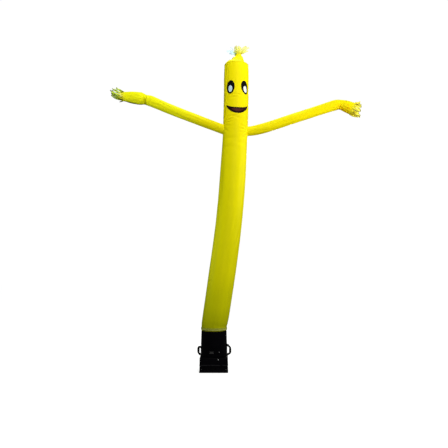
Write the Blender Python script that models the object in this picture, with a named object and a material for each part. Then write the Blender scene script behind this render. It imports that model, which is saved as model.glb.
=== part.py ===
"""Inflatable air dancer standing on its blower.

A tall cloth tube, with two sleeve arms, a gathered crown, ribbon hair and ribbon fingers,
is strapped round the outlet drum of a blower. The cloth has the shape that the air gives it.

Metres, +Z up, the face towards -Y. The origin is the middle of the blower's foot, on the floor.
Run it with: blender --background --python part.py
"""

import math

import bmesh
import bpy
from mathutils import Matrix, Vector

# Gaps and cloth
PIECE_GAP = 0.0004
CLOTH = 0.002
CLOTH_CLEARANCE = 0.0045
PATCH_LIFT = 0.0007
PATCH = 0.001

# Blower: a square foot and housing, and the round outlet drum on it
FOOT_WIDTH = 0.498
FOOT_CORNER = 0.014
HOUSING_CORNER = 0.020
CORNER_STEPS = 3
HOUSING_TOP = 0.250
DRUM_RADIUS = 0.2295
DRUM_STRAIGHT_TOP = 0.462
DRUM_SHOULDER_RADIUS = 0.2235
DRUM_SHOULDER = 0.682
DRUM_NECK_RADIUS = 0.2140
DRUM_TOP = 0.757
DRUM_WALL = 0.012
DRUM_FLOOR = 0.025
DRUM_SIDES = 36
INTAKE_SLOTS = 6
INTAKE_WIDTH = 0.30
INTAKE_HEIGHT = 0.012
INTAKE_PITCH = 0.025
INTAKE_DEPTH = 0.012
INTAKE_LOWEST = 0.052

# Height and width of the foot and of the housing above it, with a rib round its middle
FOOT_PROFILE = (
    (0.000, FOOT_WIDTH - 0.006),
    (0.004, FOOT_WIDTH),
    (0.030, FOOT_WIDTH),
    (0.034, FOOT_WIDTH - 0.006),
)
HOUSING_PROFILE = (
    (0.034 + PIECE_GAP, 0.488),
    (0.116, 0.488),
    (0.120, 0.496),
    (0.130, 0.496),
    (0.134, 0.488),
    (0.238, 0.488),
    (HOUSING_TOP, 0.478),
)

# Carrying handles: bars in the plane of the two sides, each with a curved fixing plate.
# side is -1 for the left; heights run from the upper fixing to the lower one.
HANDLE_BAR = 0.0125
HANDLE_BEND = 0.022
PLATE = 0.004
PLATE_HALF_ANGLE = math.radians(6.5)
PLATE_MARGIN = 0.014
HANDLES = (
    # name, side, reach from the axis, upper fixing, grip's top, grip's end, lower fixing
    ("left_handle", -1, 0.275, 0.402, 0.402, 0.302, 0.269),
    ("right_handle", 1, 0.286, 0.444, 0.394, 0.300, 0.271),
)

# Small fittings on the blower's front
RATING_PLATE = 0.0015
RATING_PLATE_ANGLES = (math.radians(-17), math.radians(-1))
RATING_PLATE_HEIGHTS = (0.318, 0.354)
FUSE_CAP_RADIUS = 0.013
FUSE_CAP_LENGTH = 0.014
FUSE_CAP_ANGLE = math.radians(23)
FUSE_CAP_HEIGHT = 0.345
GLAND_X = 0.076
GLAND_HEIGHT = 0.222
GLAND_RADIUS = 0.015
GLAND_LENGTH = 0.012
GLAND_NOSE_RADIUS = 0.0075
GLAND_NOSE_LENGTH = 0.030

# The cloth tube. It stands off the drum at its hem, bulges, narrows under the arms, and leans.
BODY_SIDES = 24
BODY_STEPS = 2
HEM_SHIFT = 0.003
HEM_RADIUS = (DRUM_NECK_RADIUS + HEM_SHIFT + CLOTH_CLEARANCE + CLOTH) / math.cos(math.pi / BODY_SIDES)
BODY_SECTIONS = (
    # height, sideways, radius
    (0.695, HEM_SHIFT, HEM_RADIUS),
    (0.792, HEM_SHIFT, HEM_RADIUS),
    (0.910, 0.026, 0.2330),
    (1.260, 0.080, 0.2360),
    (1.690, 0.143, 0.2385),
    (2.120, 0.203, 0.2380),
    (2.550, 0.258, 0.2375),
    (2.990, 0.303, 0.2365),
    (3.430, 0.337, 0.2350),
    (3.850, 0.362, 0.2305),
    (4.130, 0.378, 0.2260),
    (4.350, 0.388, 0.2275),
    (4.600, 0.396, 0.2300),
    (4.950, 0.402, 0.2290),
    (5.320, 0.407, 0.2280),
    (5.480, 0.408, 0.2262),
    (5.560, 0.409, 0.2215),
)

# The crown: a panel that rises to a gathered neck, open at its mouth
CROWN_SIDES = 32
CROWN_GATHERS = 8
CROWN_AXIS = Vector((math.sin(math.radians(7)), 0.0, math.cos(math.radians(7))))
CROWN_SECTIONS = (
    # height above the seam, sideways from the seam's middle, radius, depth of the gathers
    (0.000, 0.000, 0.2215, 0.000),
    (0.018, 0.001, 0.2030, 0.001),
    (0.042, 0.003, 0.1680, 0.003),
    (0.068, 0.008, 0.1330, 0.006),
    (0.106, 0.020, 0.1060, 0.008),
    (0.146, 0.022, 0.0790, 0.007),
    (0.180, 0.014, 0.0580, 0.004),
    (0.198, 0.010, 0.0520, 0.002),
)

# Sleeve arms, from inside the tube to the open cuff, with a crease at the wrist
ARM_SIDES = 14
ARM_STEPS = 2
LEFT_ARM = (
    # sideways, height, radius
    (0.300, 4.284, 0.088),
    (0.090, 4.366, 0.088),
    (-0.155, 4.460, 0.088),
    (-0.451, 4.574, 0.090),
    (-0.748, 4.692, 0.091),
    (-1.046, 4.818, 0.094),
    (-1.200, 4.884, 0.099),
    (-1.285, 4.904, 0.090),
    (-1.370, 4.926, 0.113),
    (-1.500, 4.948, 0.104),
    (-1.600, 4.956, 0.094),
    (-1.665, 4.962, 0.086),
)
RIGHT_ARM = (
    (0.480, 4.298, 0.088),
    (0.670, 4.308, 0.087),
    (0.820, 4.338, 0.092),
    (1.060, 4.408, 0.092),
    (1.397, 4.522, 0.092),
    (1.769, 4.646, 0.092),
    (2.120, 4.762, 0.094),
    (2.250, 4.802, 0.096),
    (2.320, 4.810, 0.088),
    (2.400, 4.792, 0.100),
    (2.470, 4.766, 0.109),
    (2.535, 4.738, 0.112),
)

# Ribbon fringes. A short band lies at the open edge, and each ribbon grows from its rim.
# at turns round the axis from the front; outwards and upwards steer the ribbon as it goes.
BAND = 0.0025
BAND_LENGTH = 0.016
RIBBON_STEPS = 6
RIBBON_TIP = 0.0016
RIBBON_NARROWING = 0.30
RIBBON_WAVE = 0.16
HAIR_HALF_ANGLE = 12
HAIR = (
    # at, length, outwards, upwards
    (0, 0.095, 0.20, 0.00),
    (30, 0.085, 0.40, -0.10),
    (60, 0.130, 0.85, -0.50),
    (90, 0.180, 1.05, -1.60),
    (120, 0.120, 0.95, -0.30),
    (150, 0.110, 0.45, -0.20),
    (180, 0.095, 0.20, 0.00),
    (210, 0.105, 0.50, -0.20),
    (240, 0.140, 0.90, -0.40),
    (270, 0.190, 1.10, -1.30),
    (300, 0.130, 0.80, -0.60),
    (330, 0.090, 0.40, 0.00),
)
LEFT_FINGER_HALF_ANGLE = 10
LEFT_FINGERS = (
    (0, 0.275, 0.02, 0.55),
    (36, 0.250, -0.05, 0.50),
    (72, 0.200, -0.05, 0.30),
    (108, 0.250, -0.10, 0.60),
    (144, 0.265, -0.05, 0.55),
    (180, 0.255, 0.05, 0.75),
    (216, 0.230, -0.10, 0.45),
    (252, 0.120, 0.05, -0.25),
    (288, 0.105, 0.08, -0.35),
    (324, 0.270, -0.10, 0.55),
)
RIGHT_FINGER_HALF_ANGLE = 11
RIGHT_FINGERS = (
    (0, 0.150, 0.02, 0.15),
    (32, 0.125, 0.05, 0.35),
    (64, 0.155, 0.02, 0.30),
    (96, 0.145, 0.05, 0.20),
    (128, 0.120, -0.05, 0.45),
    (160, 0.160, 0.06, 0.20),
    (192, 0.140, 0.10, 0.35),
    (224, 0.125, -0.05, 0.25),
    (256, 0.140, 0.02, 0.50),
    (288, 0.160, 0.00, 0.35),
    (322, 0.115, 0.08, 0.40),
)
GOLDEN = 0.6180339887

# The strap that holds the hem on the drum, one turn with an overlapping tail
STRAP = 0.0022
STRAP_HEIGHT = 0.038
STRAP_LOWEST = 0.711
STRAP_STEPS = 40
STRAP_OVERLAP = 4

# Face patches sewn round the head. Angles turn from the front towards +X.
HEAD_RADIUS = 0.229
FACE_ANGLE = math.radians(6.5)
EYE_APART = math.radians(35.5)
RIGHT_EYE_LEAN = math.radians(-12)
EYE_HEIGHT = 5.072
EYE_HALF_WIDTH = 0.079
EYE_HALF_HEIGHT = 0.122
EYE_WHITE_HALF_WIDTH = 0.037
EYE_WHITE_HALF_HEIGHT = 0.059
EYE_WHITE_DROP = 0.034
MOUTH_HEIGHT = 4.716
MOUTH_HALF_WIDTH = 0.232
MOUTH_SMILE = 0.062
MOUTH_DEPTH = 0.102
TONGUE_HALF_WIDTH = 0.112
TONGUE_SAG = 0.006
TONGUE_DEPTH = 0.044
TONGUE_DROP = 0.050
PATCH_ROWS = 3
EYE_COLUMNS = 10
MOUTH_COLUMNS = 16


def material(name, colour, roughness, metallic=0.0):
    made = bpy.data.materials.new(name)
    made.use_nodes = True
    shader = made.node_tree.nodes["Principled BSDF"]
    shader.inputs["Base Color"].default_value = (*colour, 1.0)
    shader.inputs["Roughness"].default_value = roughness
    shader.inputs["Metallic"].default_value = metallic
    return made


def add_object(name, bm, surface, smooth=True):
    """Puts a bmesh into the scene as one named object."""
    bmesh.ops.recalc_face_normals(bm, faces=bm.faces)
    if all(edge.is_manifold for edge in bm.edges) and bm.calc_volume(signed=True) < 0:
        bmesh.ops.reverse_faces(bm, faces=bm.faces)
    mesh = bpy.data.meshes.new(name)
    bm.to_mesh(mesh)
    bm.free()
    if surface:
        mesh.materials.append(surface)
    if smooth:
        mesh.shade_smooth()
        mesh.set_sharp_from_angle(angle=math.radians(35))
    made = bpy.data.objects.new(name, mesh)
    bpy.context.scene.collection.objects.link(made)
    return made


def as_cutter(cutter):
    cutter.hide_render = True
    cutter.display_type = "WIRE"
    return cutter


def cut(piece, cutter):
    modifier = piece.modifiers.new("Cut by " + cutter.name, "BOOLEAN")
    modifier.operation = "DIFFERENCE"
    modifier.solver = "EXACT"
    modifier.object = cutter


def thicken(piece, thickness):
    """Gives an open sheet its thickness, inwards from its outer face."""
    modifier = piece.modifiers.new("Cloth", "SOLIDIFY")
    modifier.thickness = thickness
    modifier.offset = -1.0
    modifier.use_even_offset = True


def smooth_rows(rows, steps):
    """Rows of numbers with steps - 1 more between each two, on a Catmull-Rom curve."""
    made = []
    last = len(rows) - 1
    for i in range(last):
        around = [rows[max(0, i - 1)], rows[i], rows[i + 1], rows[min(last, i + 2)]]
        for k in range(steps):
            t = k / steps
            made.append(tuple(
                0.5 * (2 * b + (c - a) * t + (2 * a - 5 * b + 4 * c - d) * t * t
                       + (3 * b - a - 3 * c + d) * t ** 3)
                for a, b, c, d in zip(*around)))
    made.append(rows[-1])
    return made


def directions(points):
    """The direction of travel at each point of a line."""
    last = len(points) - 1
    return [(points[min(last, i + 1)] - points[max(0, i - 1)]).normalized() for i in range(last + 1)]


def ring_at(middle, along, radius, angle, depth=0.0):
    """A point of a ring square to its line, which lies in the XZ plane. Angle 0 faces -Y."""
    front = Vector((0.0, -1.0, 0.0))
    side = along.cross(front).normalized()
    return middle + (front * math.cos(angle) + side * math.sin(angle)) * (radius + depth)


def loft(rows, sides, widen=0.0, capped=False, gathers=0, first=None, last=None, angles=None):
    """A tube through rows of (point, radius, depth of gathers), grown ring by ring.

    first and last set the directions that the end rings face, and angles the places of the
    sides round a ring, where they aren't even.
    """
    angles = angles or [2 * math.pi * k / sides for k in range(sides)]
    middles = [Vector(row[0]) for row in rows]
    heads = directions(middles)
    heads[0] = first or heads[0]
    heads[-1] = last or heads[-1]
    bm = bmesh.new()
    bmesh.ops.create_circle(bm, segments=sides, radius=1.0)
    ring = bottom = list(bm.verts)
    edges = list(bm.edges)
    for i, (middle, head) in enumerate(zip(middles, heads)):
        if i:
            made = bmesh.ops.extrude_edge_only(bm, edges=edges)["geom"]
            edges = [g for g in made if isinstance(g, bmesh.types.BMEdge)]
            above = dict(side_pairs(made))
            ring = [above[vert] for vert in ring]
        radius, gather = rows[i][1] + widen, rows[i][2]
        for angle, vert in zip(angles, ring):
            vert.co = ring_at(middle, head, radius, angle, gather * math.cos(gathers * angle))
    if capped:
        bmesh.ops.contextual_create(bm, geom=bottom)
        bmesh.ops.contextual_create(bm, geom=ring)
    return bm


def side_pairs(made):
    """The (old vertex, new vertex) pairs that an edge extrusion joins by its side edges."""
    new = {g for g in made if isinstance(g, bmesh.types.BMVert)}
    for vert in new:
        for edge in vert.link_edges:
            if edge.other_vert(vert) not in new:
                yield edge.other_vert(vert), vert


def rounded_square(width, corner, steps):
    """A flat square face with round corners."""
    bm = bmesh.new()
    bmesh.ops.create_grid(bm, x_segments=1, y_segments=1, size=width / 2)
    bmesh.ops.bevel(bm, geom=list(bm.verts), offset=corner, segments=steps, profile=0.5,
                    affect="VERTICES", material=-1)
    return bm


def extrude_face(bm, face, verts):
    """Extrudes one face. Returns the new face, and its vertices in the order of the old ones."""
    made = bmesh.ops.extrude_face_region(bm, geom=[face, *face.edges])["geom"]
    face = next(g for g in made if isinstance(g, bmesh.types.BMFace))
    corners = set(face.verts)
    pairs = [next(e.other_vert(v) for e in v.link_edges if e.other_vert(v) in corners) for v in verts]
    return face, pairs


def square_tower(name, profile, corner, surface):
    """A square block with round corners, which follows a profile of (height, width)."""
    height, width = profile[0]
    bm = rounded_square(width, corner, CORNER_STEPS)
    bmesh.ops.translate(bm, verts=bm.verts, vec=(0, 0, height))
    face = bm.faces[:][0]
    verts = list(face.verts)
    for next_height, next_width in profile[1:]:
        face, verts = extrude_face(bm, face, verts)
        share = next_width / width
        bmesh.ops.scale(bm, verts=verts, vec=(share, share, 1))
        bmesh.ops.translate(bm, verts=verts, vec=(0, 0, next_height - height))
        height, width = next_height, next_width
    return add_object(name, bm, surface)


def turned(name, profile, sides, surface, place=Matrix.Identity(4)):
    """A body turned about its own Z axis from a profile of (radius, height) that starts and ends on it."""
    bm = bmesh.new()
    verts = [bm.verts.new((radius, 0, height)) for radius, height in profile]
    edges = [bm.edges.new(pair) for pair in zip(verts, verts[1:])]
    bmesh.ops.spin(bm, geom=verts + edges, cent=(0, 0, 0), axis=(0, 0, 1), angle=2 * math.pi,
                   steps=sides, use_merge=True)
    bmesh.ops.remove_doubles(bm, verts=bm.verts, dist=1e-5)
    bmesh.ops.transform(bm, matrix=place, verts=bm.verts)
    return add_object(name, bm, surface)


def drum_plate(name, angles, heights, lift, thickness, surface):
    """A plate bent to the drum. Angles turn from the front, -Y, towards +X."""
    inner = DRUM_RADIUS + lift
    bm = bmesh.new()
    bmesh.ops.create_grid(bm, x_segments=1, y_segments=1, size=0.5)
    width, height = thickness, heights[1] - heights[0]
    stand = (Matrix.Translation((0, -(inner + width / 2), (heights[0] + heights[1]) / 2))
             @ Matrix.Rotation(math.radians(90), 4, "Y") @ Matrix.Diagonal((height, width, 1, 1)))
    bmesh.ops.transform(bm, matrix=Matrix.Rotation(angles[0], 4, "Z") @ stand, verts=bm.verts)
    bmesh.ops.spin(bm, geom=bm.faces[:] + bm.edges[:] + bm.verts[:], cent=(0, 0, 0), axis=(0, 0, 1),
                   angle=angles[1] - angles[0], steps=4)
    bmesh.ops.remove_doubles(bm, verts=bm.verts, dist=1e-6)
    return add_object(name, bm, surface)


def rounded_path(corners, bend, steps):
    """The line through corners, each inner one rounded with an arc-like curve."""
    path = [corners[0]]
    for before, corner, after in zip(corners, corners[1:], corners[2:]):
        start = corner + (before - corner).normalized() * bend
        end = corner + (after - corner).normalized() * bend
        for k in range(steps + 1):
            t = k / steps
            path.append(start * (1 - t) ** 2 + corner * 2 * t * (1 - t) + end * t * t)
    path.append(corners[-1])
    return path


def build_blower(black, grey, steel):
    square_tower("foot", FOOT_PROFILE, FOOT_CORNER, black)
    housing = square_tower("lower_housing", HOUSING_PROFILE, HOUSING_CORNER, black)
    cut(housing, intake_cutter())
    outer, inner = DRUM_RADIUS, DRUM_NECK_RADIUS - DRUM_WALL
    floor = HOUSING_TOP + PIECE_GAP
    turned("drum", (
        (0, floor), (outer, floor), (outer, DRUM_STRAIGHT_TOP), (DRUM_SHOULDER_RADIUS, DRUM_SHOULDER),
        (DRUM_NECK_RADIUS, DRUM_SHOULDER + 0.006), (DRUM_NECK_RADIUS, DRUM_TOP), (inner, DRUM_TOP),
        (inner, floor + DRUM_FLOOR), (0, floor + DRUM_FLOOR),
    ), DRUM_SIDES, black)
    for handle in HANDLES:
        build_handle(*handle, black)
    drum_plate("rating_plate", RATING_PLATE_ANGLES, RATING_PLATE_HEIGHTS, PIECE_GAP, RATING_PLATE, grey)
    build_fuse_cap(steel)
    build_gland(steel)


def intake_cutter():
    """Blind louvres in the housing's back and sides, above and below its rib."""
    bm = bmesh.new()
    back = HOUSING_PROFILE[0][1] / 2
    size = Matrix.Diagonal((INTAKE_WIDTH, 2 * INTAKE_DEPTH, INTAKE_HEIGHT, 1))
    for k in range(INTAKE_SLOTS):
        skip = INTAKE_PITCH if k >= INTAKE_SLOTS / 2 else 0
        height = INTAKE_LOWEST + k * INTAKE_PITCH + skip
        for turn in (-90, 0, 90):
            place = Matrix.Rotation(math.radians(turn), 4, "Z") @ Matrix.Translation((0, back, height))
            bmesh.ops.create_cube(bm, size=1.0, matrix=place @ size)
    return as_cutter(add_object("intake_cutter", bm, None, smooth=False))


def build_handle(name, side, reach, upper, grip_top, grip_end, lower, surface):
    foot_x = DRUM_RADIUS + PLATE + 2 * PIECE_GAP + PATCH
    corners = [Vector((side * x, 0, z)) for x, z in
               ((foot_x, upper), (reach, grip_top), (reach, grip_end), (foot_x, lower))]
    path = rounded_path(corners, HANDLE_BEND, 3)
    rows = [(point, HANDLE_BAR, 0.0) for point in path]
    outward = Vector((side, 0, 0))
    add_object(name, loft(rows, 8, capped=True, first=outward, last=-outward), surface)
    middle = math.radians(90) * side
    drum_plate(name + "_plate", (middle - PLATE_HALF_ANGLE, middle + PLATE_HALF_ANGLE),
               (lower - PLATE_MARGIN, upper + PLATE_MARGIN), PIECE_GAP + PATCH / 2, PLATE, surface)


def build_fuse_cap(surface):
    """A round cap on the drum, to the right of the rating plate."""
    outward = Matrix.Rotation(FUSE_CAP_ANGLE, 4, "Z") @ Matrix.Rotation(math.radians(90), 4, "X")
    start = DRUM_RADIUS + 2 * PIECE_GAP
    middle = outward @ Vector((0, 0, start)) + Vector((0, 0, FUSE_CAP_HEIGHT))
    edge = 0.002
    turned("fuse_cap", (
        (0, 0), (FUSE_CAP_RADIUS, 0), (FUSE_CAP_RADIUS, FUSE_CAP_LENGTH - edge),
        (FUSE_CAP_RADIUS - edge, FUSE_CAP_LENGTH), (0, FUSE_CAP_LENGTH),
    ), 16, surface, Matrix.Translation(middle) @ outward)


def build_gland(surface):
    """The cord's gland in the housing's front: a collar and a tapered nose."""
    front = HOUSING_PROFILE[0][1] / 2 + PIECE_GAP
    place = Matrix.Translation((GLAND_X, -front, GLAND_HEIGHT)) @ Matrix.Rotation(math.radians(90), 4, "X")
    turned("cord_gland", (
        (0, 0), (GLAND_RADIUS, 0), (GLAND_RADIUS, GLAND_LENGTH),
        (GLAND_NOSE_RADIUS + 0.002, GLAND_LENGTH + 0.003),
        (GLAND_NOSE_RADIUS, GLAND_NOSE_LENGTH), (0, GLAND_NOSE_LENGTH),
    ), 16, surface, place)


def body_rows(steps=BODY_STEPS):
    return [(Vector((x, 0, z)), radius, 0.0) for z, x, radius in smooth_rows(BODY_SECTIONS, steps)]


def arm_rows(sections):
    return [(Vector((x, 0, z)), radius, 0.0) for x, z, radius in smooth_rows(sections, ARM_STEPS)]


def build_cloth(yellow, strap):
    body = add_object("body_tube", loft(body_rows(), BODY_SIDES, last=CROWN_AXIS), yellow)
    thicken(body, CLOTH)
    trim = as_cutter(add_object("arm_trim", loft(body_rows(), BODY_SIDES, PIECE_GAP, capped=True), None))
    for name, sections in (("left_arm", LEFT_ARM), ("right_arm", RIGHT_ARM)):
        rows = arm_rows(sections)
        arm = add_object(name, loft(rows, ARM_SIDES), yellow)
        thicken(arm, CLOTH)
        cut(arm, trim)
        root = rows[:2 * ARM_STEPS + 1]
        bore = as_cutter(add_object(name + "_bore", loft(root, ARM_SIDES, -CLOTH, capped=True), None))
        cut(body, bore)
    seam = body_rows()[-1][0] + CROWN_AXIS * (CLOTH + PIECE_GAP)
    rows = [(seam + CROWN_AXIS * height + Vector((x, 0, 0)), radius, gather)
            for height, x, radius, gather in CROWN_SECTIONS]
    crown = loft(rows, CROWN_SIDES, gathers=CROWN_GATHERS, first=CROWN_AXIS, last=Vector((0, 0, 1)))
    thicken(add_object("crown", crown, yellow), CLOTH)
    build_strap(strap)
    build_fringe("hair", rows[-1], Vector((0, 0, 1)), HAIR_HALF_ANGLE, HAIR, yellow)
    for name, sections, half_angle, ribbons in (
            ("left_fingers", LEFT_ARM, LEFT_FINGER_HALF_ANGLE, LEFT_FINGERS),
            ("right_fingers", RIGHT_ARM, RIGHT_FINGER_HALF_ANGLE, RIGHT_FINGERS)):
        rows = arm_rows(sections)
        build_fringe(name, rows[-1], directions([r[0] for r in rows])[-1], half_angle, ribbons, yellow)


def build_strap(surface):
    """A webbing strap round the hem: one turn from the left side, its tail lying on its start."""
    step = 2 * math.pi / STRAP_STEPS
    inner = (HEM_RADIUS + 3 * PIECE_GAP) / math.cos(step / 2)
    bm = bmesh.new()
    bmesh.ops.create_grid(bm, x_segments=1, y_segments=1, size=0.5)
    face = bm.faces[:][0]
    verts = list(face.verts)
    turns = STRAP_STEPS + STRAP_OVERLAP
    for k in range(turns + 1):
        if k:
            face, verts = extrude_face(bm, face, verts)
        climb = min(1.0, max(0.0, (k - STRAP_STEPS + 2) / 2)) * (STRAP + 2 * PIECE_GAP)
        lowest = inner + climb
        corners = ((lowest, 0), (lowest + STRAP, 0), (lowest + STRAP, STRAP_HEIGHT), (lowest, STRAP_HEIGHT))
        angle = math.radians(-90) + k * step
        for vert, (radius, height) in zip(verts, corners):
            vert.co = (HEM_SHIFT + radius * math.sin(angle), -radius * math.cos(angle), STRAP_LOWEST + height)
    return add_object("hem_strap", bm, surface)


def build_fringe(name, end, axis, half_angle, ribbons, surface):
    """A band at an open edge, from whose rim the ribbons grow.

    ribbons has rows of (at, length, outwards, upwards), in order round the edge.
    """
    middle, radius, _ = end
    start = middle + axis * (CLOTH + PIECE_GAP)
    angles = [math.radians(row[0] + turn) for row in ribbons for turn in (-half_angle, half_angle)]
    rows = [(start, radius, 0.0), (start + axis * BAND_LENGTH, radius, 0.0)]
    bm = loft(rows, len(angles), angles=angles)
    bmesh.ops.recalc_face_normals(bm, faces=bm.faces)
    bmesh.ops.solidify(bm, geom=bm.faces[:], thickness=BAND)
    rim = [f for f in bm.faces if all((v.co - start).dot(axis) > BAND_LENGTH * 0.999 for v in f.verts)]
    roots = [nearest(rim, ring_at(start, axis, radius, math.radians(row[0])) + axis * BAND_LENGTH)
             for row in ribbons]
    for k, (face, (_, length, outwards, upwards)) in enumerate(zip(roots, ribbons)):
        grow_ribbon(bm, face, start, axis, length, outwards, upwards, (k * GOLDEN) % 1.0)
    return add_object(name, bm, surface)


def nearest(faces, point):
    return min(faces, key=lambda face: (face.calc_center_median() - point).length)


def grow_ribbon(bm, face, middle, axis, length, outwards, upwards, vary):
    """Extrudes one rim face along a waving line, thinner and narrower towards the tip."""
    centre = face.calc_center_median()
    outward = centre - middle
    outward = (outward - axis * outward.dot(axis)).normalized()
    across = axis.cross(outward).normalized()
    verts = list(face.verts)
    signs = [((v.co - centre).dot(across), (v.co - centre).dot(outward)) for v in verts]
    swing = 2 * math.pi * vary
    for j in range(1, RIBBON_STEPS + 1):
        share = j / RIBBON_STEPS
        wave = (across + outward) * math.sin(swing + 6.0 * share) * RIBBON_WAVE
        lean = outward * outwards + Vector((0, 0, 1)) * upwards * share ** 1.5
        heading = (axis + lean + wave).normalized()
        centre = centre + heading * length / RIBBON_STEPS
        normal = across.cross(heading).normalized()
        flat = heading.cross(normal)
        face, verts = extrude_face(bm, face, verts)
        narrow = 1.0 - RIBBON_NARROWING * share
        thin = 1.0 + (RIBBON_TIP / BAND - 1.0) * share
        for vert, (width, depth) in zip(verts, signs):
            vert.co = centre + flat * width * narrow + normal * depth * thin


def surface_point(rows, height, angle, lift):
    """A point at a height on the tube's outer face, lifted off it."""
    for low, high in zip(rows, rows[1:]):
        if low[0].z <= height <= high[0].z:
            share = (height - low[0].z) / (high[0].z - low[0].z)
            middle = low[0].lerp(high[0], share)
            radius = low[1] + (high[1] - low[1]) * share
            return ring_at(middle, Vector((0, 0, 1)), radius, angle, lift)
    raise ValueError("the height is off the tube")


def build_patch(name, height, angle, outline, columns, layer, surface, lean=0.0):
    """A cloth patch bent round the head, built in upright columns.

    outline(share) gives (sideways, low, high) for share -1 to 1 across the patch.
    layer 0 lies on the tube and layer 1 on another patch. lean turns it clockwise.
    """
    rows = body_rows()
    lift = PATCH_LIFT + layer * (PATCH + PIECE_GAP)
    bm = bmesh.new()
    bmesh.ops.create_grid(bm, x_segments=columns, y_segments=PATCH_ROWS, size=1.0)
    inner = set(bm.verts)
    bmesh.ops.extrude_face_region(bm, geom=bm.faces[:])
    for vert in bm.verts:
        across, low, high = outline(vert.co.x)
        up = low + (high - low) * (vert.co.y + 1) / 2
        turned_across = across * math.cos(lean) + up * math.sin(lean)
        turned_up = up * math.cos(lean) - across * math.sin(lean)
        at = angle + turned_across / HEAD_RADIUS
        out = lift if vert in inner else lift + PATCH
        vert.co = surface_point(rows, height + turned_up, at, out)
    return add_object(name, bm, surface)


def oval(half_width, half_height, drop=0.0):
    """The outline of an oval with blunt sides, as upright columns need some height."""
    def outline(share):
        across = math.sin(share * math.radians(80)) / math.sin(math.radians(80))
        reach = half_height * math.sqrt(1 - (0.985 * across) ** 2)
        return across * half_width, -reach - drop, reach - drop
    return outline


def crescent(half_width, smile, depth, drop=0.0):
    """The outline of a smile: both edges sag, the lower one by depth more, and the corners are cut off."""
    def outline(share):
        across = 0.97 * share
        high = smile * (across ** 2) - smile / 2 - drop
        return across * half_width, high - depth * (1 - across ** 2) ** 0.75, high
    return outline


def build_face(black, white, mouth, tongue):
    eye = oval(EYE_HALF_WIDTH, EYE_HALF_HEIGHT)
    eye_white = oval(EYE_WHITE_HALF_WIDTH, EYE_WHITE_HALF_HEIGHT, EYE_WHITE_DROP)
    for name, side, lean in (("left_eye", -1, 0.0), ("right_eye", 1, RIGHT_EYE_LEAN)):
        angle = FACE_ANGLE + side * EYE_APART
        build_patch(name, EYE_HEIGHT, angle, eye, EYE_COLUMNS, 0, black, lean)
        build_patch(name + "_white", EYE_HEIGHT, angle, eye_white, EYE_COLUMNS, 1, white, lean)
    smile = crescent(MOUTH_HALF_WIDTH, MOUTH_SMILE, MOUTH_DEPTH)
    build_patch("mouth", MOUTH_HEIGHT, FACE_ANGLE, smile, MOUTH_COLUMNS, 0, mouth)
    lip = crescent(TONGUE_HALF_WIDTH, TONGUE_SAG, TONGUE_DEPTH, TONGUE_DROP)
    build_patch("tongue", MOUTH_HEIGHT, FACE_ANGLE, lip, EYE_COLUMNS, 1, tongue)


def main():
    for old in list(bpy.data.objects):
        bpy.data.objects.remove(old)
    yellow = material("Yellow nylon", (0.78, 0.70, 0.01), 0.55)
    black = material("Black moulding", (0.012, 0.011, 0.014), 0.50)
    grey = material("Grey plate", (0.12, 0.12, 0.12), 0.45)
    steel = material("Bright fitting", (0.45, 0.45, 0.46), 0.35, 0.6)
    strap = material("Strap webbing", (0.62, 0.60, 0.22), 0.80)
    patch_black = material("Black patch", (0.010, 0.010, 0.012), 0.60)
    patch_white = material("White patch", (0.82, 0.86, 0.90), 0.60)
    mouth = material("Dark mouth patch", (0.025, 0.006, 0.006), 0.60)
    tongue = material("Tongue patch", (0.16, 0.035, 0.03), 0.60)
    build_blower(black, grey, steel)
    build_cloth(yellow, strap)
    build_face(patch_black, patch_white, mouth, tongue)


main()
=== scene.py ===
"""Looks of the inflatable air dancer: its cloth, face, ribbons, strap, blower and a plain studio.

Metres, +Z up, the face towards -Y. Lines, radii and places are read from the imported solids, so each
dressed piece lies on the solid that it stands for.
"""

import functools
import math
from bisect import bisect_right

import bmesh
import bpy
from bpy.props import FloatProperty, FloatVectorProperty, PointerProperty
from bpy.types import Operator, Panel, PropertyGroup
from mathutils import Matrix, Vector, noise


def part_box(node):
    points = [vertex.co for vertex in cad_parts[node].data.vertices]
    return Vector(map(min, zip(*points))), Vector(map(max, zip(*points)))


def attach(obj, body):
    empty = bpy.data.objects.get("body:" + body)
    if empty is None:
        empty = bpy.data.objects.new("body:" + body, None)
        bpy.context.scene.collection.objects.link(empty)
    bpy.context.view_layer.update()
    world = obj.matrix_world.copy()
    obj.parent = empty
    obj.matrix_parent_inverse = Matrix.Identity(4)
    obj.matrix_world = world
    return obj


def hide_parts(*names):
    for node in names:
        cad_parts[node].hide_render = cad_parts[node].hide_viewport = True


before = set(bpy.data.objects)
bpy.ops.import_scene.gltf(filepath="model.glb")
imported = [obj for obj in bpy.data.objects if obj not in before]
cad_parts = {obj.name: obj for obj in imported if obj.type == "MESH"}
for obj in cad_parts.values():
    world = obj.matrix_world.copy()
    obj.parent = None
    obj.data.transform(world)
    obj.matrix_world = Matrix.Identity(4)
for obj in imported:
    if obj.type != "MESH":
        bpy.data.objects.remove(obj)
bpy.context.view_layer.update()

bl_info = {
    "name": "Air dancer looks",
    "version": (1, 0, 0),
    "blender": (4, 5, 0),
    "location": "View3D > Sidebar > Air dancer",
    "description": "Dresses an inflatable air dancer and its blower over their packed solids",
    "category": "Object",
}

BODY = "root"
FRONT = Vector((0.0, -1.0, 0.0))
UP = Vector((0.0, 0.0, 1.0))
RIGHT = Vector((1.0, 0.0, 0.0))

# The solids' own gaps and cloth thickness, and the directions in which a slice's reach is read
CAD_CLOTH = 0.002
CAD_GAP = 0.0004
WEDGE = math.radians(15)

# Meshes: how finely each cloth tube is divided
BODY_SIDES = 112
BODY_ROW = 0.0127
CROWN_SIDES = 128
CROWN_ROWS = 56
ARM_SIDES = 60
ARM_ROW = 0.0105
EDGE_ROWS = (0.0, 0.0025, 0.006, 0.011)

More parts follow.
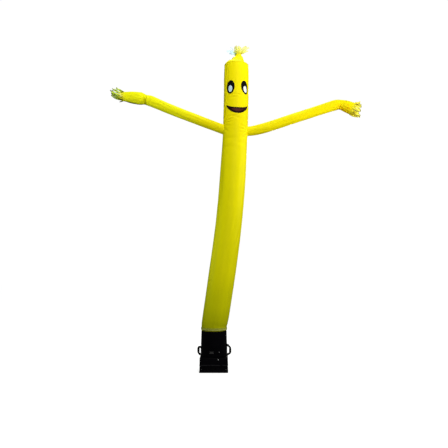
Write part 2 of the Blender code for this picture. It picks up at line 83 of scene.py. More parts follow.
# Where the sleeves meet the tube: how far a hole's edge lies inside the sleeve, how far along the sleeve
# its start is looked for, and how far it stands off the tube
HOLE_MARGIN = 0.016
ROOT_SEARCH = 0.45
ROOT_LIFT = 0.0006

# Strap: steps of its turn and of its tail, its thickness, and how far inside its solid's face it starts
STRAP_STEPS = 120
STRAP_OVERLAP = 12
STRAP_THICKNESS = 0.0020
STRAP_INWARD = 2 * 0.0022 + 3 * CAD_GAP
# The tail's gap over the strap, the strap's unevenness and its thinner edges. Then the box of stitches on
# the tail: the steps left free at its ends, its lower and upper edges as shares of the strap's height, its
# lift, and its pitch against the cloth's
TAIL_GAP = 0.0006
STRAP_UNEVEN = 0.0004
STRAP_WAVES = 23
SELVEDGE_SHARE = 0.02
SELVEDGE_THIN = 0.0005
BOX_START = 1.5
BOX_LOW = 0.15
BOX_HIGH = 0.85
BOX_LIFT = 0.0002
BOX_PITCH = 0.7

# Seams and turned hems: heights, the hems' width and lift, how short of an edge a long seam stops, the
# thread's half width, and how many vertices of stitches are gathered before they are joined
SEAM_HEIGHT = 0.0016
SEAM_END = 0.004
HEM_WIDTH = 0.004
HEM_HEIGHT = 0.0008
HEM_LIFT = 0.0004
THREAD = 0.0011
STITCH_BATCH = 600

# A crease's ridges: their height against its depth, and how many widths they lie off it
RIDGE_SHARE = 0.42
RIDGE_OFF = 2.0
# Soft creases: height, degrees from the front, slope, length, width, depth.
# Slope 0 runs round the tube and 90 along it; positive climbs towards +X.
BODY_CREASES = (
    # left side of the head
    (5.42, -60, 92, 0.40, 0.016, 0.0088),
    (5.28, -47, 83, 0.34, 0.013, 0.0076),
    (5.24, -74, 97, 0.44, 0.020, 0.0101),
    (4.80, -50, 80, 0.34, 0.014, 0.0084),
    (4.74, -66, 98, 0.36, 0.018, 0.0092),
    # between and under the eyes
    (5.17, -10, 76, 0.15, 0.012, 0.0063),
    (5.09, 1, 98, 0.12, 0.011, 0.0059),
    (4.935, -26, 3, 0.25, 0.013, 0.0088),
    (4.925, 9, -4, 0.20, 0.011, 0.0076),
    (4.880, -8, 2, 0.16, 0.015, 0.0050),
    # under the mouth
    (4.530, -16, 5, 0.24, 0.014, 0.0084),
    (4.500, 8, -5, 0.20, 0.016, 0.0071),
    # drawn from the left sleeve's seam
    (4.490, -52, 34, 0.25, 0.014, 0.0126),
    (4.455, -40, 17, 0.27, 0.012, 0.0130),
    (4.415, -38, 3, 0.25, 0.012, 0.0072),
    (4.360, -42, -14, 0.24, 0.013, 0.0070),
    (4.285, -52, -36, 0.26, 0.016, 0.0070),
    (4.500, -128, -30, 0.25, 0.015, 0.0118),
    (4.380, -136, 4, 0.26, 0.013, 0.0070),
    (4.290, -128, 34, 0.24, 0.015, 0.0065),
    # drawn from the right sleeve's seam
    (4.400, 50, -36, 0.26, 0.015, 0.0075),
    (4.350, 40, -18, 0.25, 0.013, 0.0072),
    (4.300, 38, -2, 0.25, 0.012, 0.0077),
    (4.255, 44, 16, 0.24, 0.013, 0.0075),
    (4.190, 54, 38, 0.27, 0.016, 0.0070),
    (4.400, 130, 32, 0.25, 0.015, 0.0070),
    (4.300, 138, -3, 0.26, 0.013, 0.0070),
    (4.200, 128, -34, 0.24, 0.015, 0.0065),
    # slack rings under the sleeves
    (4.120, -12, 3, 0.50, 0.030, 0.0042),
    (4.050, 30, -5, 0.44, 0.032, 0.0051),
    (3.960, -34, 6, 0.40, 0.030, 0.0045),
    (4.080, 168, 4, 0.50, 0.032, 0.0058),
    # long shallow troughs down the tube
    (3.560, 46, 89, 1.50, 0.040, 0.0080),
    (3.300, -58, 91, 1.30, 0.046, 0.0070),
    (2.820, -72, 84, 0.52, 0.022, 0.0074),
    (2.640, -60, 95, 0.44, 0.020, 0.0070),
    (2.560, 26, 84, 0.46, 0.022, 0.0061),
    (2.320, 50, 77, 0.46, 0.020, 0.0067),
    (2.100, 64, 83, 0.40, 0.018, 0.0061),
    (1.960, -48, 88, 1.50, 0.040, 0.0074),
    (1.860, 10, 89, 1.30, 0.050, 0.0058),
    (1.527, -62, 20, 0.20, 0.013, 0.0070),
    (1.180, 58, 94, 0.70, 0.034, 0.0070),
    (3.400, 142, 88, 1.60, 0.046, 0.0077),
    (2.300, -150, 92, 1.40, 0.044, 0.0077),
    (1.700, 128, 90, 1.10, 0.040, 0.0070),
    (4.950, 150, 87, 0.60, 0.030, 0.0092),
    (5.050, -146, 93, 0.50, 0.026, 0.0092),
    (5.300, 70, 88, 0.36, 0.020, 0.0076),
)
# On the sleeves the first number is sideways, and 90 degrees is the top on the left sleeve and the
# underside on the right one.
LEFT_CREASES = (
    (0.06, 20, 62, 0.16, 0.013, 0.0050),
    (0.07, -34, 118, 0.15, 0.013, 0.0050),
    (0.04, 78, 84, 0.16, 0.014, 0.0046),
    (-0.28, 34, 84, 0.55, 0.017, 0.0052),
    (-0.42, -8, 93, 0.50, 0.015, 0.0044),
    (-0.62, -46, 87, 0.55, 0.018, 0.0050),
    (-0.74, 48, 94, 0.50, 0.016, 0.0050),
    (-0.95, 12, 86, 0.42, 0.015, 0.0046),
    (-1.08, -30, 98, 0.34, 0.015, 0.0050),
    (-1.13, 58, 80, 0.30, 0.015, 0.0048),
    (-0.55, 140, 90, 0.60, 0.018, 0.0050),
    (-0.90, -140, 88, 0.60, 0.018, 0.0050),
    # the bend and the wrist
    (-1.205, 10, 8, 0.17, 0.011, 0.0048),
    (-1.272, 2, -3, 0.27, 0.013, 0.0280),
    (-1.276, -52, 6, 0.20, 0.013, 0.0220),
    (-1.285, 168, 2, 0.30, 0.011, 0.0090),
    (-1.345, 26, 58, 0.12, 0.012, 0.0070),
    (-1.360, -30, 112, 0.14, 0.012, 0.0075),
    (-1.350, 66, 96, 0.13, 0.012, 0.0060),
    (-1.430, 4, 84, 0.20, 0.014, 0.0070),
    (-1.470, -52, 96, 0.20, 0.014, 0.0080),
    (-1.520, 44, 80, 0.22, 0.014, 0.0070),
    (-1.560, -16, 100, 0.16, 0.013, 0.0070),
)
RIGHT_CREASES = (
    (0.72, 18, 112, 0.16, 0.013, 0.0050),
    (0.73, -34, 66, 0.16, 0.013, 0.0048),
    (0.75, 74, 92, 0.18, 0.014, 0.0048),
    (0.90, 40, 84, 0.46, 0.016, 0.0050),
    (1.05, -16, 95, 0.50, 0.015, 0.0044),
    (1.28, 18, 87, 0.50, 0.016, 0.0048),
    (1.40, 58, 93, 0.50, 0.017, 0.0050),
    (1.52, -44, 86, 0.50, 0.015, 0.0046),
    (1.74, 22, 96, 0.44, 0.015, 0.0044),
    (1.90, 66, 88, 0.42, 0.016, 0.0048),
    (2.05, -12, 84, 0.36, 0.014, 0.0040),
    (1.30, 150, 90, 0.60, 0.018, 0.0050),
    (1.70, -150, 91, 0.60, 0.018, 0.0050),
    # the bend and the wrist
    (2.235, 62, 8, 0.17, 0.011, 0.0070),
    (2.265, 38, 64, 0.11, 0.010, 0.0080),
    (2.300, 76, -6, 0.16, 0.010, 0.0085),
    (2.315, 22, 4, 0.19, 0.010, 0.0080),
    (2.345, 54, 58, 0.11, 0.010, 0.0085),
    (2.365, 8, 116, 0.10, 0.010, 0.0070),
    (2.385, 80, 100, 0.12, 0.011, 0.0080),
    (2.420, 34, 82, 0.14, 0.012, 0.0080),
    (2.440, -22, 96, 0.14, 0.012, 0.0065),
    (2.470, 62, 74, 0.12, 0.011, 0.0075),
    (2.480, 10, 104, 0.12, 0.011, 0.0070),
    (2.320, 170, 3, 0.24, 0.012, 0.0070),
)

# Each sleeve's creases and the seed of its unevenness
SLEEVES = {"left": (LEFT_CREASES, 21.0), "right": (RIGHT_CREASES, 34.0)}
# How far the sleeves' lines run on inside the body, and where the left wrist is creased and darkened by
# painted shade
ARM_INSIDE = 0.16
WRIST_CREASE = 1.272

# The slack hollow on the crown's left: degrees from the front, share of its height, and how far it spreads
HOLLOW_AT = -90
HOLLOW_SPREAD = 60
HOLLOW_SHARE = 0.30
HOLLOW_REACH = 0.16
HOLLOW_DEPTH = 0.038

# Hem: its pleats, how deep, how far up they swell and fade, how far the edge stands above the solid's
# and is lifted at the sides, and how far it is drawn in by the strap and flares under it
HEM_PLEATS = 19
HEM_PLEAT_DEPTH = 0.0036
HEM_PLEAT_FADE = 0.21
PLEAT_SWELL = 0.03
HEM_RISE = 0.004
HEM_SIDE_LIFT = 0.010
STRAP_BITE = 0.0012
HEM_FLARE = 0.0022
# How far above the strap the cloth is slack, and how far from a seam it is taut
SLACK_START = 0.10
SEAM_TAUT = 0.05
HEADING_STEP = 0.004

# Crown: gathers and lean of the solid, how its cloth starts inside the tube's end, and its neck's pleats
CROWN_GATHERS = 8
CROWN_LEAN = math.radians(7)
CROWN_TUCK = 0.004
CROWN_INSIDE = 0.0016
CROWN_EASE = 0.022
CROWN_SLACK = 0.003
NECK_PLEATS = 22
NECK_PLEAT_DEPTH = 0.0030

# Ribbons: how finely they are divided, their cloth, and the marks that their material reads
RIBBON_ROWS = 22
RIBBON_COLUMNS = 4
RIBBON_STEPS = 6
RIBBON_CLOTH = 0.0008
RIBBON_MARKS = ("tip", "clear", "edge")
# How a ribbon waves, sways, cups and flutters, how far it turns to the front, where its slit starts, how
# far its halves turn apart, the share of the width they fill, how one lags, and how its tips fray
RIBBON_WAVE = 0.16
RIBBON_SWAY = math.radians(30)
RIBBON_CUP = 0.16
RIBBON_FLUTTER = 0.0032
RIBBON_FACING = math.radians(70)
RIBBON_SLIT = 0.12
RIBBON_TWIST = math.radians(65)
RIBBON_SPAN = 0.97
RIBBON_LAG = 0.12
RIBBON_FRAY = 0.05
GOLDEN = 0.6180339887
# The band that they grow from
BAND_SIDES = 60
BAND_LENGTH = 0.016
BAND_TUCK = 0.012
# How far it lies inside the cloth's edge, opens and ripples, and where on it the ribbons start
BAND_INWARD = 0.0018
BAND_OPENING = 0.0014
BAND_RIPPLE = 0.0012
BAND_RIPPLES = 9
BAND_SUNK = 0.0008
BAND_OVERLAP = 0.004
# Each fringe: degrees that a ribbon would fill, its width against that, how much wider its tip is, and
# how far its halves part
LEFT_FINGER_SHAPE = (20, 1.95, -0.10, 0.60)
RIGHT_FINGER_SHAPE = (22, 2.05, 0.05, 0.12)
HAIR_SHAPE = (24, 2.70, 0.35, 0.10)
# Ribbons of the hair that are clear film, wholly or partly
CLEAR_HAIR = {235: 1.0, 270: 1.0, 305: 1.0, 60: 0.40, 82: 0.45, 104: 0.45, 128: 0.40}
# Ribbons that are unslit, narrow and stiff. They take the dark edge colour all over: painted shade
# under the left sleeve.
STRANDS = (261, 268)
STRAND_WIDTH = 0.36
STRAND_WAVE = 0.03
# Rows: degrees round the edge from the front, length, and how strongly the ribbon steers outwards and
# upwards as it goes. One of negative length is blown back along its sleeve.
HAIR = (
    (0, 0.135, 0.10, 0.00),
    (30, 0.125, 0.25, -0.05),
    (60, 0.155, 0.80, -0.20),
    (82, 0.180, 0.95, -0.45),
    (104, 0.165, 0.95, -0.85),
    (128, 0.150, 0.80, -0.20),
    (155, 0.120, 0.35, -0.05),
    (180, 0.135, 0.10, 0.00),
    (210, 0.120, 0.30, -0.05),
    (235, 0.170, 1.00, -0.10),
    (270, 0.185, 1.10, -0.35),
    (305, 0.165, 0.95, -0.15),
    (335, 0.130, 0.25, 0.00),
)
LEFT_FINGERS = (
    (0, 0.235, 0.02, 0.75),
    (36, 0.210, 0.02, 0.60),
    (72, 0.165, 0.08, 0.32),
    (108, 0.170, 0.10, 0.30),
    (144, 0.205, 0.02, 0.62),
    (180, 0.235, 0.02, 0.80),
    (216, 0.265, -0.20, 0.78),
    (252, 0.290, -0.42, 0.52),
    (261, 0.085, 0.16, -0.22),
    (268, -0.430, 0.250, 0.40),
    (298, 0.280, -0.44, 0.56),
    (324, 0.260, -0.20, 0.78),
)
RIGHT_FINGERS = (
    (0, 0.140, 0.02, 0.45),
    (32, 0.150, -0.12, 0.25),
    (64, 0.175, -0.26, 0.12),
    (96, 0.180, -0.30, 0.05),
    (128, 0.175, -0.26, 0.12),
    (160, 0.150, -0.04, 0.25),
    (192, 0.140, 0.02, 0.48),
    (224, 0.125, 0.00, 0.55),
    (256, 0.115, -0.10, 0.60),
    (288, 0.120, -0.10, 0.60),
    (322, 0.130, 0.00, 0.52),
)

# Face patches: the right eye's lean, the light parts' drop, and the smiles of the mouth and the tongue
RIGHT_EYE_LEAN = math.radians(-12)
EYE_WHITE_DROP = 0.034
EYE_HALF_WIDTH = 0.079
EYE_WHITE_HALF_WIDTH = 0.037
MOUTH_SMILE = 0.062
MOUTH_HALF_WIDTH = 0.232
MOUTH_DEPTH = 0.102
TONGUE_HALF_WIDTH = 0.112
TONGUE_DEPTH = 0.044
TONGUE_DROP = 0.050
TONGUE_SAG = 0.006
PATCH_COLUMNS = 34
PATCH_ROWS = 26
PATCH_LIFT = 0.0006
RIM_STEP = 0.0012

# Blower: heights on the drum, and its fittings
DRUM_STRAIGHT_TOP = 0.462
DRUM_SHOULDER = 0.682
DRUM_SHOULDER_RADIUS = 0.2235
DRUM_NECK_RADIUS = 0.2140
DRUM_WALL = 0.012
DRUM_RIB = 0.0016
DRUM_FLOOR = 0.025
DRUM_SIDES = 96
# Its ribs: the lower one's height over its foot, and half the height of each
LOW_RIB_RISE = 0.030
LOW_RIB_HALF = 0.003
TOP_RIB_HALF = 0.004
SHOULDER_STEP = 0.006
HANDLE_BAR = 0.0165
HANDLE_BEND = 0.015
HANDLES = (
    # name, side, reach from the axis, upper fixing, grip's top, grip's end, lower fixing, grip's sleeve
    ("left_handle", -1, 0.274, 0.402, 0.402, 0.302, 0.269, 0.0032),
    ("right_handle", 1, 0.286, 0.444, 0.394, 0.300, 0.271, 0.0036),
)
HANDLE_SIDES = 24
HANDLE_ROW = 0.002
HANDLE_LUG = 0.0026
HANDLE_LUG_LENGTH = 0.034
HANDLE_LUG_SLOPE = 0.006
# Grip sleeve: how far it stops short of its top and end, its ends' slope, and its ribs
GRIP_BELOW_TOP = 0.012
GRIP_ABOVE_END = 0.010
GRIP_SLOPE = 0.004
GRIP_RIB = 0.008
GRIP_RIB_HEIGHT = 0.0006
SCREW_HEAD = 0.0052
RIVET_HEAD = 0.0026
HEAD_SUNK = 0.0003
HOUSING_HALF = 0.244
# How far the screws and rivets stand from the edges of what they hold (the turns are in radians), and
# how far the rivets are lifted
MOUNT_SCREW_TURN = 0.030
MOUNT_SCREW_EDGE = 0.007
HOUSING_SCREW_EDGE = 0.034
HOUSING_SCREW_RISE = 0.026
RIVET_LIFT = 0.0002
RIVET_EDGE = 0.0045
RIVET_TURN = 0.018
# Edges sharper than this, in degrees, are rounded
EDGE_ANGLE = 32.0
CAP_LENGTH = 0.014
KNURLS = 24
KNURL_DEPTH = 0.0007
NUT_HEIGHT = 0.012
NOSE_RIBS = 5
NOSE_RADIUS = 0.0094
NOSE_TIP_RADIUS = 0.0072
NOSE_RIB_DEPTH = 0.0006
NOSE_OVERLAP = 0.0005
NOSE_LIP_RADIUS = 0.0050
NOSE_HOLE_RADIUS = 0.0046
NOSE_HOLE_DEPTH = 0.003

# Weaves: the ripstop's squares, their threads, the patches' finer squares, and the webbing's ribs
WEAVE_CELL = 0.006
WEAVE_THREAD = 0.11
THREAD_HEIGHT = 0.006
PATCH_CELL = 0.005
WEBBING_RIB = 0.0022
WEBBING_SLANT = 0.0095

# Painted light and grime on the yellow cloth, in the order it is laid on: its mask, how strongly it shows,
# and its colour. The masks are placed by height and reach as shares of these lengths.
FULL_HEIGHT = 6.0
FULL_REACH = 3.0
# Width of the painted shade in the left wrist's crease
WRIST_DIRT = 0.030
WEATHER = (
    # Painted shade: the cloth darker and greener towards the bottom
    ("Fade", 1.0, (0.755, 0.757, 0.0004)),
    # Painted light: the left side greener, as under greener light
    ("Green", 1.0, (0.915, 0.865, 0.004)),
    # Grime and painted shade: the cloth darker towards the hem
    ("Grime", 0.85, (0.40, 0.43, 0.0005)),
    # Painted light: a warm orange glow in the folds under the right cuff
    ("Stain", 0.75, (0.90, 0.42, 0.0006)),
    # Painted shade: in the left wrist's crease and on the hem's free edge under the strap
    ("Dirt", 1.0, (0.10, 0.10, 0.003)),
)

# Ribbons: name, colour where thin, colour of tips and edges, and how dense the thin cloth is
HAIR_NYLON = ("Hair ribbon nylon", (1.0, 0.93, 0.22), (0.95, 0.88, 0.30), 0.62)
# The left ribbons' lime colour is painted greener light; their tip and edge colour is near-black, the same
# dark that paints shade on the strands
LEFT_FINGER_NYLON = ("Left finger ribbon nylon", (0.74, 0.90, 0.09), (0.10, 0.13, 0.03), 0.88)
RIGHT_FINGER_NYLON = ("Right finger ribbon nylon", (0.98, 0.90, 0.10), (0.42, 0.40, 0.06), 0.90)
CLEAR_FILM = (0.62, 0.84, 1.0)
CLEAR_ALPHA = 0.40

# Stage: the floor brightens outwards to the background's white, and the world lights a little
FLOOR_RADIUS = 60.0
FLOOR_FADE = 6.0
WORLD_LIGHT = 0.02

# Soft lights: degrees round the object from its front, distance, height, share of the power, size,
# colour and target
LIT = Vector((0.35, 0.0, 4.0))
LEFT_HAND = Vector((-1.50, 0.0, 4.95))
RIGHT_HAND = Vector((2.35, 0.0, 4.78))
LIGHTS = (
    ("Front", 10, 6.5, 6.9, 1.00, 2.2, (1.00, 0.985, 0.90), LIT),
    ("Right", 84, 4.5, 4.3, 0.40, 2.2, (1.00, 0.985, 0.92), LIT),
    ("Left", -90, 3.0, 2.5, 0.080, 2.2, (0.82, 1.00, 0.86), LIT),
    ("Overhead", 90, 0.25, 7.4, 0.30, 3.0, (0.82, 1.00, 0.96), LIT),
    ("Left hand", -64, 2.45, 5.2, 0.0125, 0.8, (0.90, 1.00, 0.92), LEFT_HAND),
    ("Right hand", 62, 2.50, 3.1, 0.026, 0.8, (1.00, 0.92, 0.80), RIGHT_HAND),
    ("Low", -15, 3.0, 2.5, 0.030, 2.2, (0.90, 1.00, 0.90), LIT),
    ("Back", 170, 6.0, 6.0, 0.80, 2.4, (1.00, 1.00, 0.94), LIT),
)


# ---------------------------------------------------------------- settings

class ClothSettings(PropertyGroup):
    thickness: FloatProperty(
        name="Cloth thickness", description="Thickness of the nylon as it is modelled",
        default=0.0012, min=0.0002, max=0.002, unit="LENGTH")
    slack: FloatProperty(
        name="Slack", description="How far the fine unevenness of the cloth stands off the smooth tube",
        default=0.0022, min=0.0, max=0.006, unit="LENGTH")
    seam_width: FloatProperty(
        name="Seam width", description="Width of the felled seams and of the turned hems",
        default=0.014, min=0.004, max=0.03, unit="LENGTH")
    stitch_pitch: FloatProperty(
        name="Stitch pitch", description="Distance from one stitch to the next",
        default=0.0075, min=0.003, max=0.02, unit="LENGTH")
    yellow: FloatVectorProperty(
        name="Yellow", description="Colour of the nylon in full light",
        default=(0.955, 0.80, 0.0004), min=0.0, max=1.0, subtype="COLOR")
    # The fold colour is painted shade: it goes where the crumple's bump is low
    yellow_shade: FloatVectorProperty(
        name="Yellow, folds", description="Colour of the nylon where it is worn or doubled",
        default=(0.90, 0.757, 0.0004), min=0.0, max=1.0, subtype="COLOR")


class FaceSettings(PropertyGroup):
    thickness: FloatProperty(
        name="Patch thickness", description="Thickness of the cloth of the face",
        default=0.0008, min=0.0002, max=0.002, unit="LENGTH")
    edging: FloatProperty(
        name="Edging width", description="Width of the close stitching round each patch",
        default=0.006, min=0.002, max=0.012, unit="LENGTH")
    black: FloatVectorProperty(
        name="Eye black", description="Colour of the eyes", default=(0.0035, 0.0035, 0.0045),
        min=0.0, max=1.0, subtype="COLOR")
    white: FloatVectorProperty(
        name="Eye white", description="Colour of the pupils' highlights", default=(0.86, 0.88, 0.92),
        min=0.0, max=1.0, subtype="COLOR")


class BlowerSettings(PropertyGroup):
    edge: FloatProperty(
        name="Edge radius", description="Radius of the moulded edges", default=0.0022,
        min=0.0005, max=0.006, unit="LENGTH")
    black: FloatVectorProperty(
        name="Housing black", description="Colour of the moulded housing",
        default=(0.0014, 0.0011, 0.0024), min=0.0, max=1.0, subtype="COLOR")


class StageSettings(PropertyGroup):
    distance: FloatProperty(
        name="Camera distance", description="From the object's middle plane to the camera",
        default=9.0, min=2.0, max=30.0, unit="LENGTH")
    height: FloatProperty(
        name="Camera height", description="Height of the camera over the floor", default=1.70,
        min=0.1, max=6.0, unit="LENGTH")
    sideways: FloatProperty(
        name="Camera sideways", description="Place of the camera across the object", default=0.177,
        unit="LENGTH")
    pitch: FloatProperty(
        name="Camera pitch", description="How far the camera looks up", default=math.radians(5.62),
        subtype="ANGLE")
    lens: FloatProperty(
        name="Lens", description="Focal length on a 36 mm sensor, in millimetres", default=40.15,
        min=10.0, max=200.0)
    light_power: FloatProperty(
        name="Light power", description="Power of the large soft light in front; the others follow it",
        default=323.0, min=0.0, subtype="POWER")


# ---------------------------------------------------------------- reading the frame

def merged_copy(node):
    """A node's loose triangles, joined into one mesh that may be changed."""
    bm = bmesh.new()
    bm.from_mesh(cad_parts[node].data)
    bmesh.ops.remove_doubles(bm, verts=bm.verts, dist=1e-5)
    return bm


def slice_line(node, axis, start, end, cuts):
    """(middle, radius at the front, mean radius) of slices through a tube's solid, square to an axis.

    The front-most point of a slice lies straight in front of the tube's middle, on its outer face.
    """
    bm = merged_copy(node)
    line = []
    for k in range(cuts + 1):
        place = axis * (start + (end - start) * k / cuts)
        made = bmesh.ops.bisect_plane(bm, geom=[*bm.verts, *bm.edges, *bm.faces],
                                      plane_co=place, plane_no=axis)["geom_cut"]
        ring = [g.co.copy() for g in made if isinstance(g, bmesh.types.BMVert)]
        front = min(ring, key=lambda co: co.y)
        middle = Vector((front.x, 0.0, front.z))
        line.append((middle, -front.y, outer_reach(ring, middle)))
    bm.free()
    return line


def outer_reach(ring, middle):
    """The mean distance of a slice's outer face from its middle: the farthest point in each direction."""
    reaches = {}
    for co in ring:
        turn = math.atan2(co.x - middle.x, -co.y)
        wedge = int((turn + math.pi) / WEDGE)
        reaches[wedge] = max(reaches.get(wedge, 0.0), (co - middle).length)
    return sum(reaches.values()) / len(reaches)


def open_end(node, way):
    """(middle, radius, radius) of the ring at a tube's open end, the one that looks along way."""
    bm = merged_copy(node)
    front = min(vert.co.y for vert in bm.verts)
    ends = [face for face in bm.faces
            if face.normal.dot(way) > 0.8 and face.calc_center_median().y < front * 0.5]
    point = min((vert.co.copy() for face in ends for vert in face.verts), key=lambda co: co.y)
    bm.free()
    return Vector((point.x, 0.0, point.z)), -point.y, -point.y


def node_middle(node):
    low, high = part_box(node)
    return (low + high) / 2


def node_size(node):
    low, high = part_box(node)
    return high - low


# ---------------------------------------------------------------- cloth tubes

class Tube:
    """The outer face of a cloth tube. along is metres from its start, around radians from the front."""

    def __init__(self, line, relief=lambda along, around: 0.0):
        self.line = [(row[0], row[1]) for row in line]
        self.stations = [0.0]
        for (a, _), (b, _) in zip(self.line, self.line[1:]):
            self.stations.append(self.stations[-1] + (b - a).length)
        self.length = self.stations[-1]
        self.relief = relief
        self.rings = {}

    def middle(self, along):
        """The middle and the radius on a smooth curve through the line."""
        last = len(self.line) - 1
        i = min(last - 1, max(0, bisect_right(self.stations, along) - 1))
        span = self.stations[i + 1] - self.stations[i]
        t = (along - self.stations[i]) / span
        near = [self.line[j] for j in (max(0, i - 1), i, i + 1, min(last, i + 2))]
        if not 0.0 <= t <= 1.0:
            return tuple(b + (c - b) * t for b, c in zip(near[1], near[2]))
        share = (-0.5 * t + t * t - 0.5 * t ** 3, 1 - 2.5 * t * t + 1.5 * t ** 3,
                 0.5 * t + 2 * t * t - 1.5 * t ** 3, 0.5 * (t ** 3 - t * t))
        return (sum((p * s for (p, _), s in zip(near, share)), Vector()),
                sum(r * s for (_, r), s in zip(near, share)))

    def ring(self, along):
        """The middle, the radius, the heading and the side direction at a place."""
        if along not in self.rings:
            before, after = self.middle(along - HEADING_STEP)[0], self.middle(along + HEADING_STEP)[0]
            ahead = (after - before).normalized()
            self.rings[along] = (*self.middle(along), ahead, ahead.cross(FRONT).normalized())
        return self.rings[along]

    def outward(self, along, around):
        _, _, _, side = self.ring(along)
        return FRONT * math.cos(around) + side * math.sin(around)

    def point(self, along, around, lift=0.0):
        middle, radius, _, _ = self.ring(along)
        reach = radius + self.relief(along, around) + lift
        return middle + self.outward(along, around) * reach

    def station(self, place, axis):
        """The distance along the line at which it passes a place on an axis."""
        low, high = 0.0, self.length
        rising = (self.line[-1][0] - self.line[0][0]).dot(axis) > 0
        for _ in range(40):
            trial = (low + high) / 2
            if (self.middle(trial)[0].dot(axis) < place) == rising:
                low = trial
            else:
                high = trial
        return (low + high) / 2

    def beside(self, point, axis):
        """The middle and the radius at the place on an axis that a point is level with."""
        return self.middle(self.station(point.dot(axis), axis))


def wrapped(angle):
    """An angle between -pi and pi."""
    return (angle + math.pi) % (2 * math.pi) - math.pi


def clamped(value):
    """A value kept between 0 and 1."""
    return min(1.0, max(0.0, value))


def crease_relief(rows, along, around, radius):
    """The relief of listed creases: troughs with a soft ridge on either side, fading at their ends."""
    total = 0.0
    for at, turn, slope_cos, slope_sin, length, width, depth in rows:
        up = along - at
        if abs(up) > length:
            continue
        over = wrapped(around - turn) * radius
        if abs(over) > length:
            continue
        run = (over * slope_cos + up * slope_sin) / (length / 2)
        if abs(run) >= 1.0:
            continue
        off = (up * slope_cos - over * slope_sin) / width
        fade = math.cos(run * math.pi / 2) ** 1.5
        trough = math.exp(-off * off)
        ridge = RIDGE_SHARE * math.exp(-(abs(off) - RIDGE_OFF) ** 2)
        total += depth * fade * (ridge - trough)
    return total


def creases_on(tube, axis, table):
    """Crease rows with their places as distances along the tube and their slopes as cosine and sine."""
    rows = []
    for place, turn, slope, length, width, depth in table:
        slope = math.radians(slope)
        rows.append((tube.station(place, axis), math.radians(turn), math.cos(slope), math.sin(slope),
                     length, width, depth))
    return rows


def slack_relief(along, around, stretch, seed):
    """Slow unevenness of a taut tube, about -1 to 1, longer along the tube than round it."""
    place = Vector((math.cos(around) * 1.7 + seed, math.sin(around) * 1.7, along * stretch))
    return noise.noise(place) * 1.2 + noise.noise(place * 2.9) * 0.45


def pleats(around, count, seed):
    """Uneven pleats round an edge, 0 in the troughs to 1 on the ridges."""
    drift = noise.noise(Vector((math.cos(around) * 1.3, math.sin(around) * 1.3, seed)))
    return 0.5 + 0.5 * math.cos(count * around + 5.0 * drift)


@functools.cache
def body_tube():
    low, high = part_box("body_tube")
    line = slice_line("body_tube", UP, low.z + 0.020, high.z - 0.029, 60)
    line[0][0].z = low.z + HEM_RISE
    plain = Tube(line)
    slack = bpy.context.scene.dancer_cloth.slack
    rows = creases_on(plain, UP, BODY_CREASES)
    strap_low, strap_high = (corner.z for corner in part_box("hem_strap"))
    gathered = plain.station(strap_high, UP)
    free = plain.station(strap_low, UP)

    def relief(along, around):
        radius = plain.ring(along)[1]
        loose = clamped((along - gathered) / SLACK_START)
        top = clamped((plain.length - along) / SEAM_TAUT)
        total = crease_relief(rows, along, around, radius)
        total += slack * slack_relief(along, around, 0.9, 3.0) * loose * top
        pleat = pleats(around, HEM_PLEATS, 7.0)
        if along >= gathered:
            fade = math.exp(-(along - gathered) / HEM_PLEAT_FADE)
            swell = min(1.0, (along - gathered) / PLEAT_SWELL)
            total += HEM_PLEAT_DEPTH * (pleat - 0.45) * fade * swell
        total -= STRAP_BITE * (1.0 - pleat) * (1.0 - loose)
        if along < free:
            total += HEM_FLARE * (1.0 - along / free) * pleat
        return total

    return Tube(line, relief)


class Crown(Tube):
    """A tube whose first part eases from the edge of another tube, just inside it, to its own shape."""

    def __init__(self, line, relief, below):
        super().__init__(line, relief)
        self.below = below

    def point(self, along, around, lift=0.0):
        own = super().point(along, around, lift)
        share = clamped(along / CROWN_EASE)
        share = share * share * (3 - 2 * share)
        edge = self.below.point(self.below.length - CROWN_TUCK, around, lift - CROWN_INSIDE)
        edge += self.below.ring(self.below.length)[2] * along * (1 - 0.5 * share)
        inward = self.below.outward(self.below.length, around)
        edge -= inward * along * along / CROWN_EASE * 0.5
        return edge.lerp(own, share)


@functools.cache
def crown_tube():
    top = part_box("crown")[1].z
    body = body_tube()
    seam = body.middle(body.length)[0]
    neck = slice_line("crown", UP, top - 0.003, top - 0.001, 1)[-1]
    lean = Vector((math.sin(CROWN_LEAN), 0.0, math.cos(CROWN_LEAN)))
    start = seam.dot(lean) + CAD_CLOTH + CAD_GAP
    sections = slice_line("crown", lean, start + 0.0006, neck[0].dot(lean), 26)
    line = [(middle, mean) for middle, _, mean in sections]
    depths = [front - mean for _, front, mean in sections]
    plain = Tube(line)

    def relief(along, around):
        share = clamped(along / plain.length)
        k = share * (len(depths) - 1)
        i = min(len(depths) - 2, int(k))
        depth = depths[i] + (depths[i + 1] - depths[i]) * (k - i)
        total = max(0.0, depth) * math.cos(CROWN_GATHERS * around)
        fold = pleats(around, NECK_PLEATS, 2.0) - 0.5
        total += NECK_PLEAT_DEPTH * fold * math.sin(math.pi * min(1.0, share * 1.06) ** 0.8) ** 2
        total += CROWN_SLACK * slack_relief(along, around, 7.0, 9.0) * math.sin(math.pi * share)
        aside = wrapped(around - math.radians(HOLLOW_AT)) / math.radians(HOLLOW_SPREAD)
        total -= HOLLOW_DEPTH * math.exp(-aside ** 2 - ((share - HOLLOW_SHARE) / HOLLOW_REACH) ** 2)
        return total

    return Crown(line, relief, body)


